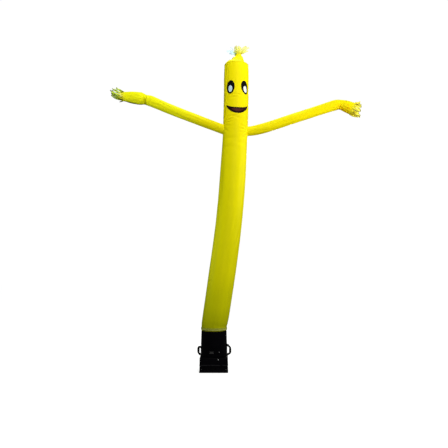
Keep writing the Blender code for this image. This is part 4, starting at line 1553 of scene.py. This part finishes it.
def make_strap():
    """The webbing strap round the hem: one turn and a tail, box-stitched where it overlaps."""
    low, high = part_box("hem_strap")
    height = high.z - low.z
    middle_x = body_tube().ring(0.0)[0].x
    inner = max(-low.x + middle_x, high.x - middle_x) - STRAP_INWARD
    turns = STRAP_STEPS + STRAP_OVERLAP

    def strap_point(k, radius, rise):
        angle = math.radians(-90) + 2 * math.pi * k / STRAP_STEPS
        return Vector((middle_x + radius * math.sin(angle), -radius * math.cos(angle), low.z + rise))

    def radius_at(k):
        return inner + clamped((k - STRAP_STEPS + 4) / 4) * (STRAP_THICKNESS + TAIL_GAP)

    def place(u, v):
        k = v * turns
        angle = math.radians(-90) + 2 * math.pi * k / STRAP_STEPS
        unevenness = STRAP_UNEVEN * math.sin(STRAP_WAVES * angle)
        radius = radius_at(k) - (0.0 if SELVEDGE_SHARE < u < 1 - SELVEDGE_SHARE else SELVEDGE_THIN)
        return strap_point(k, radius, height * u + unevenness)

    bm = sheet_mesh(12, turns, place, (height, 2 * math.pi * inner * turns / STRAP_STEPS))
    face_away(bm, lambda co: Vector((middle_x, 0.0, co.z)))
    strap = add_piece("hem_webbing", bm, strap_webbing(), "strap_webbing", ("hem_strap",))
    thicken(strap, STRAP_THICKNESS, 1.0)
    sewn = bmesh.new()
    outer = radius_at(turns) + STRAP_THICKNESS + BOX_LIFT
    first, last = BOX_START, STRAP_OVERLAP - BOX_START
    box = [(first, BOX_LOW), (last, BOX_LOW), (last, BOX_HIGH), (first, BOX_HIGH), (first, BOX_LOW),
           (last, BOX_HIGH)]
    for corners in (box, [(first, BOX_HIGH), (last, BOX_LOW)]):
        points, outs = [], []
        for (a, s), (b, t) in zip(corners, corners[1:]):
            for share in (k / 8 for k in range(9)):
                k = a + (b - a) * share
                points.append(strap_point(k, outer, height * (s + (t - s) * share)))
                outs.append((strap_point(k, 1.0, 0.0) - strap_point(k, 0.0, 0.0)).normalized())
        sew(sewn, points, outs, bpy.context.scene.dancer_cloth.stitch_pitch * BOX_PITCH)
    stitches = add_piece("strap_stitches", sewn, seam_thread(), "strap_webbing", closed=True)
    return strap, stitches


# ---------------------------------------------------------------- face

def disc_share(u, v):
    """A point of a unit square as a point of a unit disc, without pinching at the corners."""
    x, y = u * 2 - 1, v * 2 - 1
    return x * math.sqrt(1 - y * y / 2), y * math.sqrt(1 - x * x / 2)


def oval(half_width, half_height, drop=0.0):
    def outline(u, v):
        x, y = disc_share(u, v)
        return x * half_width, y * half_height - drop
    return outline


def crescent(half_width, smile, depth, drop=0.0):
    """A smile: both edges sag, the lower one by depth more, and it narrows to its corners."""
    def outline(u, v):
        across = 0.985 * math.sin((u * 2 - 1) * math.radians(82)) / math.sin(math.radians(82))
        high = smile * across ** 2 - smile / 2 - drop
        low = high - depth * (1 - across ** 2) ** 0.75
        return across * half_width, low + (high - low) * v
    return outline


def make_patch(name, node, height, angle, outline, lift, surface, slot, lean=0.0):
    """A cloth patch sewn on the head, with a close-stitched edging."""
    face = bpy.context.scene.dancer_face
    tube = body_tube()
    spread = tube.ring(tube.station(height, UP))[1]

    def on_head(u, v):
        across, up = outline(u, v)
        turned_across = across * math.cos(lean) + up * math.sin(lean)
        turned_up = up * math.cos(lean) - across * math.sin(lean)
        return tube.station(height + turned_up, UP), angle + turned_across / spread

    bm = sheet_mesh(PATCH_COLUMNS, PATCH_ROWS, lambda u, v: tube.point(*on_head(u, v), lift), (0.2, 0.2))
    face_away(bm, away_from(tube, UP))
    patch = add_piece(name, bm, surface, slot, (node,))
    thicken(patch, face.thickness, 1.0)
    rim = [(k / PATCH_COLUMNS, 0.0) for k in range(PATCH_COLUMNS)]
    rim += [(1.0, k / PATCH_ROWS) for k in range(PATCH_ROWS)]
    rim += [(1 - k / PATCH_COLUMNS, 1.0) for k in range(PATCH_COLUMNS)]
    rim += [(0.0, 1 - k / PATCH_ROWS) for k in range(PATCH_ROWS + 1)]
    points, outs = [], []
    for u, v in rim:
        along, around = on_head(u, v)
        point = tube.point(along, around, lift + face.thickness * 0.5)
        if points and (point - points[-1]).length < RIM_STEP:
            continue
        points.append(point)
        outs.append(tube.outward(along, around))
    if (points[0] - points[-1]).length > 1e-6:
        points.append(points[0].copy())
        outs.append(outs[0].copy())
    edging = bmesh.new()
    strip_mesh(edging, points, outs, face.edging, face.thickness)
    return patch, add_piece(name + "_edging", edging, surface, slot)


def make_face():
    """Each eye with its light part, the mouth and the tongue."""
    face = bpy.context.scene.dancer_face
    black = patch_cloth("Black patch", tuple(face.black), tinted(face.black, 0.7))
    lights = {"right": patch_cloth("White patch", tuple(face.white), tinted(face.white, 0.90)),
              "left": patch_cloth("Shaded white patch", (0.62, 0.77, 0.92), (0.44, 0.60, 0.78))}
    red = patch_cloth("Mouth patch", (0.020, 0.0052, 0.0052), (0.012, 0.004, 0.004))
    pink = patch_cloth("Tongue patch", (0.110, 0.026, 0.019), (0.060, 0.012, 0.013))
    lift = PATCH_LIFT
    upper = lift + face.thickness + PATCH_LIFT / 2
    tall, small = (node_size(node).z / 2 for node in ("left_eye", "left_eye_white"))
    made = []
    for side, lean in (("left", 0.0), ("right", RIGHT_EYE_LEAN)):
        node = side + "_eye"
        low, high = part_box(node)
        place = ((low.z + high.z) / 2, middle_angle(node))
        made += make_patch(node + "_patch", node, *place, oval(EYE_HALF_WIDTH, tall), lift, black,
                           "black_patch", lean)
        made += make_patch(node + "_light", node + "_white", *place,
                           oval(EYE_WHITE_HALF_WIDTH, small, EYE_WHITE_DROP), upper, lights[side],
                           "white_patch", lean)
    place = (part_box("mouth")[1].z - MOUTH_SMILE / 2, middle_angle("mouth"))
    made += make_patch("mouth_patch", "mouth", *place,
                       crescent(MOUTH_HALF_WIDTH, MOUTH_SMILE, MOUTH_DEPTH), lift, red, "mouth_patch")
    made += make_patch("tongue_patch", "tongue", *place,
                       crescent(TONGUE_HALF_WIDTH, TONGUE_SAG, TONGUE_DEPTH, TONGUE_DROP), upper, pink,
                       "tongue_patch")
    return made


def middle_angle(node):
    """The angle round the head of a node's middle, read from its own vertices."""
    tube = body_tube()
    angles = []
    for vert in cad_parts[node].data.vertices:
        centre, _ = tube.beside(vert.co, UP)
        angles.append(math.atan2(vert.co.x - centre.x, -vert.co.y))
    return (min(angles) + max(angles)) / 2


# ---------------------------------------------------------------- blower

def rounded(profile, radius, steps=3):
    """A line of (x, y) with its inner corners rounded off."""
    points = [Vector(p) for p in profile]
    made = [points[0]]
    for before, corner, after in zip(points, points[1:], points[2:]):
        reach = min(radius, (before - corner).length * 0.45, (after - corner).length * 0.45)
        start = corner + (before - corner).normalized() * reach
        end = corner + (after - corner).normalized() * reach
        for k in range(steps + 1):
            t = k / steps
            made.append(start * (1 - t) ** 2 + corner * 2 * t * (1 - t) + end * t * t)
    made.append(points[-1])
    return made


def turn_profile(bm, profile, steps, place=Matrix.Identity(4)):
    """Adds a body turned about its own Z axis from a profile of (radius, height)."""
    points = [Vector(p) for p in profile]
    last = len(points) - 1

    def turned(u, v):
        radius, height = points[round(v * last)]
        angle = 2 * math.pi * u
        return Vector((radius * math.cos(angle), radius * math.sin(angle), height))

    part = sheet_mesh(steps, last, turned, (2 * math.pi * max(p.x for p in points), line_length(points)))
    bmesh.ops.recalc_face_normals(part, faces=part.faces)
    bmesh.ops.transform(part, matrix=place, verts=part.verts)
    join(bm, part)


def refined(name, node, surface, slot, edge):
    """A node's own shape, its flat faces whole again and its edges rounded."""
    bm = merged_copy(node)
    bmesh.ops.dissolve_limit(bm, angle_limit=math.radians(1.0), verts=bm.verts, edges=bm.edges)
    piece = add_piece(name, bm, surface, slot, (node,), EDGE_ANGLE, closed=True)
    modifier = piece.modifiers.new("Moulded edge", "BEVEL")
    modifier.width = edge
    modifier.segments = 2
    modifier.limit_method = "ANGLE"
    modifier.angle_limit = math.radians(EDGE_ANGLE)
    modifier.use_clamp_overlap = True
    modifier.harden_normals = False
    return piece


def outward_place(point, out):
    """A matrix that stands a part's Z axis along out, at a point."""
    return Matrix.Translation(point) @ out.to_track_quat("Z", "Y").to_matrix().to_4x4()


def drum_point(angle, height, radius):
    return Vector((math.sin(angle) * radius, -math.cos(angle) * radius, height))


def on_drum(angle, height, radius):
    """A matrix that stands a part on the drum's face."""
    return outward_place(drum_point(angle, height, radius), drum_point(angle, 0.0, 1.0))


def make_drum():
    low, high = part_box("drum")
    outer = (high.y - low.y) / 2
    inner = DRUM_NECK_RADIUS - DRUM_WALL
    profile = [(0.0, low.z), (outer, low.z)]
    for middle, half in ((low.z + LOW_RIB_RISE, LOW_RIB_HALF), (DRUM_STRAIGHT_TOP, TOP_RIB_HALF)):
        profile += [(outer, middle - half), (outer + DRUM_RIB, middle), (outer, middle + half)]
    profile += [(DRUM_SHOULDER_RADIUS, DRUM_SHOULDER), (DRUM_NECK_RADIUS, DRUM_SHOULDER + SHOULDER_STEP),
                (DRUM_NECK_RADIUS, high.z), (inner, high.z), (inner, low.z + DRUM_FLOOR),
                (0.0, low.z + DRUM_FLOOR)]
    bm = bmesh.new()
    turn_profile(bm, rounded(profile, bpy.context.scene.dancer_blower.edge), DRUM_SIDES)
    return add_piece("drum_shell", bm, housing_black(), "blower_black", ("drum",), 34.0)


def make_handle(name, side, reach, upper, grip_top, grip_end, lower, sleeve):
    """A round bar handle with a ribbed rubber grip, on its plate."""
    plate_low, plate_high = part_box(name + "_plate")
    foot_x = max(abs(plate_low.x), abs(plate_high.x)) + CAD_GAP
    corners = [(side * x, 0.0, z) for x, z in
               ((foot_x, upper), (reach, grip_top), (reach, grip_end), (foot_x, lower))]
    line = Tube([(point, HANDLE_BAR) for point in rounded(corners, HANDLE_BEND, 8)])
    grip_low = line.station(-(grip_top - GRIP_BELOW_TOP), -UP)
    grip_high = line.station(-(grip_end + GRIP_ABOVE_END), -UP)

    def swell(along):
        inside = clamped(min(along - grip_low, grip_high - along) / GRIP_SLOPE)
        ribs = 0.5 + 0.5 * math.cos(2 * math.pi * along / GRIP_RIB)
        lug = clamped((HANDLE_LUG_LENGTH - min(along, line.length - along)) / HANDLE_LUG_SLOPE)
        return HANDLE_BAR + inside * (sleeve + GRIP_RIB_HEIGHT * ribs) + HANDLE_LUG * lug

    def place(u, v):
        along = v * line.length
        middle = line.ring(along)[0]
        return middle + line.outward(along, (u * 2 - 1) * math.pi) * swell(along)

    bm = sheet_mesh(HANDLE_SIDES, round(line.length / HANDLE_ROW), place,
                    (2 * math.pi * HANDLE_BAR, line.length))
    bmesh.ops.holes_fill(bm, edges=[e for e in bm.edges if e.is_boundary])
    add_piece(name + "_bar", bm, grip_black(), "blower_black", (name,), 40.0, closed=True)
    edge = bpy.context.scene.dancer_blower.edge
    refined(name + "_mount", name + "_plate", housing_black(), "blower_black", edge * 0.5)


def screw_profile(head):
    """A domed screw head with a socket in its middle."""
    dome = head * 0.55
    return rounded([(0.0, 0.0), (head, 0.0), (head, dome * 0.5), (head * 0.62, dome), (head * 0.42, dome),
                    (head * 0.40, dome * 0.35), (0.0, dome * 0.35)], head * 0.12, 2)


def make_screws():
    """Screws on the handle plates and on the housing's sides, and rivets on the blank plate."""
    bm = bmesh.new()
    head = screw_profile(SCREW_HEAD)
    for name, side, *_ in HANDLES:
        low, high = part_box(name + "_plate")
        radius = max(abs(low.x), abs(high.x))
        spread = math.asin((high.y - low.y) / 2 / radius) - MOUNT_SCREW_TURN
        for turn in (-spread, spread):
            for height in (low.z + MOUNT_SCREW_EDGE, high.z - MOUNT_SCREW_EDGE):
                turn_profile(bm, head, 16, on_drum(side * math.pi / 2 + turn, height, radius - HEAD_SUNK))
    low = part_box("lower_housing")[0]
    for turn in range(4):
        out, across = (Matrix.Rotation(turn * math.pi / 2, 3, "Z") @ way for way in (FRONT, RIGHT))
        for sideways in (-1, 1):
            point = out * (HOUSING_HALF - HEAD_SUNK) + across * sideways * (HOUSING_HALF - HOUSING_SCREW_EDGE)
            turn_profile(bm, head, 16, outward_place(point + UP * (low.z + HOUSING_SCREW_RISE), out))
    low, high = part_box("rating_plate")
    rivet = screw_profile(RIVET_HEAD)
    radius = math.hypot(low.x, low.y)
    first, last = (math.atan2(x, math.sqrt(radius ** 2 - x * x)) for x in (low.x, high.x))
    for angle in (first + RIVET_TURN, last - RIVET_TURN):
        for height in (low.z + RIVET_EDGE, high.z - RIVET_EDGE):
            turn_profile(bm, rivet, 12, on_drum(angle, height, radius + RIVET_LIFT))
    add_piece("blower_screws", bm, bright_metal(), "bright_fitting")


def make_fuse_cap():
    """The fuse cap: a knurled black cap with a bright face."""
    low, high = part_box("fuse_cap")
    middle = node_middle("fuse_cap")
    out = drum_point(math.atan2(middle.x, -middle.y), 0.0, 1.0)
    length, radius = CAP_LENGTH, (high.z - low.z) / 2
    start = middle - out * length / 2
    knurled = turned_fitting(
        [(0.0, 0.0), (1.0, 0.0), (1.0, 0.86), (0.80, 1.0), (0.62, 1.0), (0.60, 0.86), (0.0, 0.86)],
        radius, length, 0.0012, KNURLS * 4, outward_place(start, out))
    for vert in knurled.verts:
        away = vert.co - start
        rise = away.dot(out)
        flat = away - out * rise
        if flat.length > radius * 0.9 and rise > 0.001:
            turn = math.atan2(flat.z, flat.dot(Vector((out.y, -out.x, 0.0))))
            vert.co -= flat.normalized() * KNURL_DEPTH * (0.5 + 0.5 * math.cos(KNURLS * turn))
    add_piece("fuse_cap_knurled", knurled, housing_black(), "blower_black", (), 50.0)
    button = turned_fitting(
        [(0.0, 0.80), (0.56, 0.80), (0.56, 0.97), (0.16, 0.99), (0.14, 0.88), (0.0, 0.88)],
        radius, length, 0.0010, 40, outward_place(start, out))
    add_piece("fuse_cap_face", button, bright_metal(), "bright_fitting", ("fuse_cap",), 50.0)


def turned_fitting(shares, radius, length, edge, steps, place):
    """A mesh turned from a profile that is given in shares of the fitting's radius and length."""
    bm = bmesh.new()
    profile = [(radius * across, length * rise) for across, rise in shares]
    turn_profile(bm, rounded(profile, edge), steps, place)
    return bm


def make_gland():
    """The cord gland: its hexagonal nut and its ribbed, tapered nose with an open end."""
    low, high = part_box("cord_gland")
    middle = node_middle("cord_gland")
    radius, length = (high.z - low.z) / 2, high.y - low.y
    place = outward_place(Vector((middle.x, high.y, middle.z)), FRONT)
    bm = bmesh.new()
    nut = [(0.0, 0.0), (radius * 0.98, 0.0), (radius * 0.98, NUT_HEIGHT - 0.002),
           (radius * 0.80, NUT_HEIGHT), (0.0, NUT_HEIGHT)]
    turn_profile(bm, rounded(nut, 0.001, 2), 6, place)
    add_piece("gland_nut", bm, housing_black(), "blower_black", (), 30.0)
    bm = bmesh.new()
    nose = [(0.0, NUT_HEIGHT - NOSE_OVERLAP)]
    steps = NOSE_RIBS * 6
    for share in (k / steps for k in range(steps + 1)):
        taper = NOSE_RADIUS + (NOSE_TIP_RADIUS - NOSE_RADIUS) * share
        wave = NOSE_RIB_DEPTH * math.cos(2 * math.pi * NOSE_RIBS * share)
        nose.append((taper + wave, NUT_HEIGHT + (length - NUT_HEIGHT - NOSE_OVERLAP) * share))
    nose += [(NOSE_LIP_RADIUS, length), (NOSE_HOLE_RADIUS, length - NOSE_HOLE_DEPTH),
             (0.0, length - NOSE_HOLE_DEPTH)]
    turn_profile(bm, nose, 32, place)
    add_piece("gland_nose", bm, bright_metal(), "bright_fitting", ("cord_gland",), 40.0)


def gored_cut(tube):
    """The width, the length and the area of a tube's cloth that is cut narrower towards its end."""
    places = [tube.length * k / 60 for k in range(61)]
    front = [tube.point(at, 0.0) for at in places]
    girths = [line_length(ring_line(tube, at, CROWN_SIDES)[0]) for at in places]
    area = sum((a - b).length * (g + h) / 2 for a, b, g, h in zip(front, front[1:], girths, girths[1:]))
    return max(girths), line_length(front), area


# ---------------------------------------------------------------- stage

def seen_by_camera(tree):
    return add_node(tree, "ShaderNodeLightPath").outputs["Is Camera Ray"]


def make_floor():
    """A wide pale floor that meets the white background without a line."""
    bm = bmesh.new()
    bmesh.ops.create_circle(bm, cap_ends=True, segments=96, radius=FLOOR_RADIUS)
    mesh = bpy.data.meshes.new("floor")
    bm.to_mesh(mesh)
    bm.free()
    made, tree, shader = new_material("Pale floor", Specular_IOR_Level=0.1)
    place = object_place(tree)
    cloud = noise_node(tree, place, 1.6, 3.0)
    away = add_node(tree, "ShaderNodeVectorMath", {"operation": "LENGTH"}, Vector=place).outputs["Value"]
    far = ramp(tree, math_node(tree, "DIVIDE", away, FLOOR_FADE), (0.05, 0.86), (0.9, 1.0))
    feed(tree, shader, Base_Color=mix_colours(tree, cloud, (0.30, 0.30, 0.30), (0.34, 0.34, 0.34)),
         Roughness=scaled(tree, cloud, 0.1, 0.8), Emission_Color=far,
         Emission_Strength=seen_by_camera(tree))
    mesh.materials.append(made)
    floor = bpy.data.objects.new("floor", mesh)
    bpy.context.scene.collection.objects.link(floor)


def make_world(context):
    """A white background that lights the object only a little."""
    world = bpy.data.worlds.new("Studio")
    world.use_nodes = True
    tree = world.node_tree
    feed(tree, tree.nodes["Background"], Color=(1.0, 1.0, 1.0),
         Strength=scaled(tree, seen_by_camera(tree), 1.0, WORLD_LIGHT))
    context.scene.world = world


def add_light(name, place, target, power, size, colour):
    """A soft square light that looks at a target."""
    data = bpy.data.lights.new(name, "AREA")
    data.energy = power
    data.size = size
    data.color = colour
    light = bpy.data.objects.new(name, data)
    light.location = place
    light.rotation_euler = (target - place).to_track_quat("-Z", "Y").to_euler()
    light.visible_camera = False
    bpy.context.scene.collection.objects.link(light)


# ---------------------------------------------------------------- operators

# What the operators made
MADE = {}


class DANCER_OT_seams(Operator):
    """Makes the seams, hems and rows of stitches on the cloths"""

    bl_idname = "dancer.make_seams"
    bl_label = "Seams"

    def execute(self, context):
        MADE["seams"] = make_seams()
        return {"FINISHED"}


class DANCER_OT_ribbons(Operator):
    """Makes the ribbons at the crown and at both sleeve ends"""

    bl_idname = "dancer.make_ribbons"
    bl_label = "Ribbons"

    def execute(self, context):
        MADE["hair"] = make_fringe("hair_ribbons", "hair", crown_tube(), HAIR, HAIR_SHAPE,
                                   ribbon_nylon(*HAIR_NYLON), CLEAR_HAIR)
        for side, rows, shape, nylon in (("left", LEFT_FINGERS, LEFT_FINGER_SHAPE, LEFT_FINGER_NYLON),
                                         ("right", RIGHT_FINGERS, RIGHT_FINGER_SHAPE, RIGHT_FINGER_NYLON)):
            MADE[side + " fingers"] = make_fringe(side + "_finger_ribbons", side + "_fingers",
                                                  arm_tube(side), rows, shape, ribbon_nylon(*nylon), {})
        return {"FINISHED"}


class DANCER_OT_face(Operator):
    """Makes the sewn cloth patches of the eyes and the mouth"""

    bl_idname = "dancer.make_face"
    bl_label = "Face"

    def execute(self, context):
        MADE["face"] = make_face()
        return {"FINISHED"}


class DANCER_OT_strap(Operator):
    """Makes the webbing strap that holds the hem to the drum"""

    bl_idname = "dancer.make_strap"
    bl_label = "Hem strap"

    def execute(self, context):
        MADE["strap"] = make_strap()
        return {"FINISHED"}


class DANCER_OT_body(Operator):
    """Makes the body tube's cloth, down to its hem"""

    bl_idname = "dancer.make_body"
    bl_label = "Body tube"

    def execute(self, context):
        body = MADE["body"] = make_body()
        tube = body_tube()
        girth = 2 * math.pi * tube.ring(tube.length / 2)[1]
        return {"FINISHED"}


class DANCER_OT_sleeves(Operator):
    """Makes the cloth of both sleeves"""

    bl_idname = "dancer.make_sleeves"
    bl_label = "Sleeves"

    def execute(self, context):
        for side in SLEEVES:
            made = make_sleeve(side)
            sleeve = arm_tube(side)
            length = sleeve.length - min(sleeve_roots(side).values())
            width = 2 * math.pi * sleeve.ring(sleeve.length / 2)[1]
        return {"FINISHED"}


class DANCER_OT_crown(Operator):
    """Makes the crown's gathered cloth"""

    bl_idname = "dancer.make_crown"
    bl_label = "Crown"

    def execute(self, context):
        crown = make_crown()
        wide, rise, area = gored_cut(crown_tube())
        return {"FINISHED"}


class DANCER_OT_mouldings(Operator):
    """Makes the blower's foot, housing, drum and blank plate"""

    bl_idname = "dancer.make_mouldings"
    bl_label = "Blower mouldings"

    def execute(self, context):
        edge = context.scene.dancer_blower.edge
        refined("foot_moulding", "foot", housing_black(), "blower_black", edge)
        refined("housing_moulding", "lower_housing", housing_black(), "blower_black", edge * 0.7)
        make_drum()
        refined("blank_plate", "rating_plate", plate_grey(), "plate_grey", 0.0004)
        return {"FINISHED"}


class DANCER_OT_handles(Operator):
    """Makes both carrying handles with their grip sleeves"""

    bl_idname = "dancer.make_handles"
    bl_label = "Handles"

    def execute(self, context):
        for handle in HANDLES:
            make_handle(*handle)
        return {"FINISHED"}


class DANCER_OT_fittings(Operator):
    """Makes the screws, the rivets, the fuse cap and the cord gland"""

    bl_idname = "dancer.make_fittings"
    bl_label = "Screws, cap and gland"

    def execute(self, context):
        make_screws()
        make_fuse_cap()
        make_gland()
        return {"FINISHED"}


class DANCER_OT_stage(Operator):
    """Makes the pale floor, the soft lights and the camera"""

    bl_idname = "dancer.make_stage"
    bl_label = "Studio"

    def execute(self, context):
        stage = context.scene.dancer_stage
        make_floor()
        make_world(context)
        for name, turn, away, height, share, size, colour, target in LIGHTS:
            turn = math.radians(turn)
            place = Vector((LIT.x + away * math.sin(turn), -away * math.cos(turn), height))
            add_light(name, place, target, stage.light_power * share, size, colour)
        camera = bpy.data.objects.new("Camera", bpy.data.cameras.new("Camera"))
        camera.data.lens = stage.lens
        camera.data.sensor_width = 36.0
        camera.location = (stage.sideways, -stage.distance, stage.height)
        camera.rotation_euler = (math.pi / 2 + stage.pitch, 0.0, 0.0)
        context.scene.collection.objects.link(camera)
        context.scene.camera = camera
        context.scene.view_settings.view_transform = "Standard"
        return {"FINISHED"}


class DANCER_PT_panel(Panel):
    bl_label = "Air dancer"
    bl_idname = "DANCER_PT_panel"
    bl_space_type = "VIEW_3D"
    bl_region_type = "UI"
    bl_category = "Air dancer"

    def draw(self, context):
        layout = self.layout
        scene = context.scene
        groups = (("Cloth figure", scene.dancer_cloth), ("Face", scene.dancer_face),
                  ("Blower", scene.dancer_blower), ("Studio", scene.dancer_stage))
        for label, settings in groups:
            box = layout.box()
            box.label(text=label)
            for name in settings.__annotations__:
                box.prop(settings, name)
        for operator in OPERATORS:
            layout.operator(operator.bl_idname)


SETTINGS = (("dancer_cloth", ClothSettings), ("dancer_face", FaceSettings),
            ("dancer_blower", BlowerSettings), ("dancer_stage", StageSettings))
OPERATORS = (DANCER_OT_seams, DANCER_OT_ribbons, DANCER_OT_face, DANCER_OT_strap, DANCER_OT_body,
             DANCER_OT_sleeves, DANCER_OT_crown, DANCER_OT_mouldings, DANCER_OT_handles, DANCER_OT_fittings,
             DANCER_OT_stage)


def register():
    for name, settings in SETTINGS:
        bpy.utils.register_class(settings)
        setattr(bpy.types.Scene, name, PointerProperty(type=settings))
    for operator in OPERATORS:
        bpy.utils.register_class(operator)
    bpy.utils.register_class(DANCER_PT_panel)


def unregister():
    bpy.utils.unregister_class(DANCER_PT_panel)
    for operator in reversed(OPERATORS):
        bpy.utils.unregister_class(operator)
    for name, settings in reversed(SETTINGS):
        delattr(bpy.types.Scene, name)
        bpy.utils.unregister_class(settings)


def main():
    register()
    bpy.ops.dancer.make_seams()
    bpy.ops.dancer.make_ribbons()
    bpy.ops.dancer.make_face()
    bpy.ops.dancer.make_strap()
    bpy.ops.dancer.make_body()
    bpy.ops.dancer.make_sleeves()
    bpy.ops.dancer.make_crown()
    bpy.ops.dancer.make_mouldings()
    bpy.ops.dancer.make_handles()
    bpy.ops.dancer.make_fittings()
    bpy.ops.dancer.make_stage()


if __name__ == "__main__":
    main()
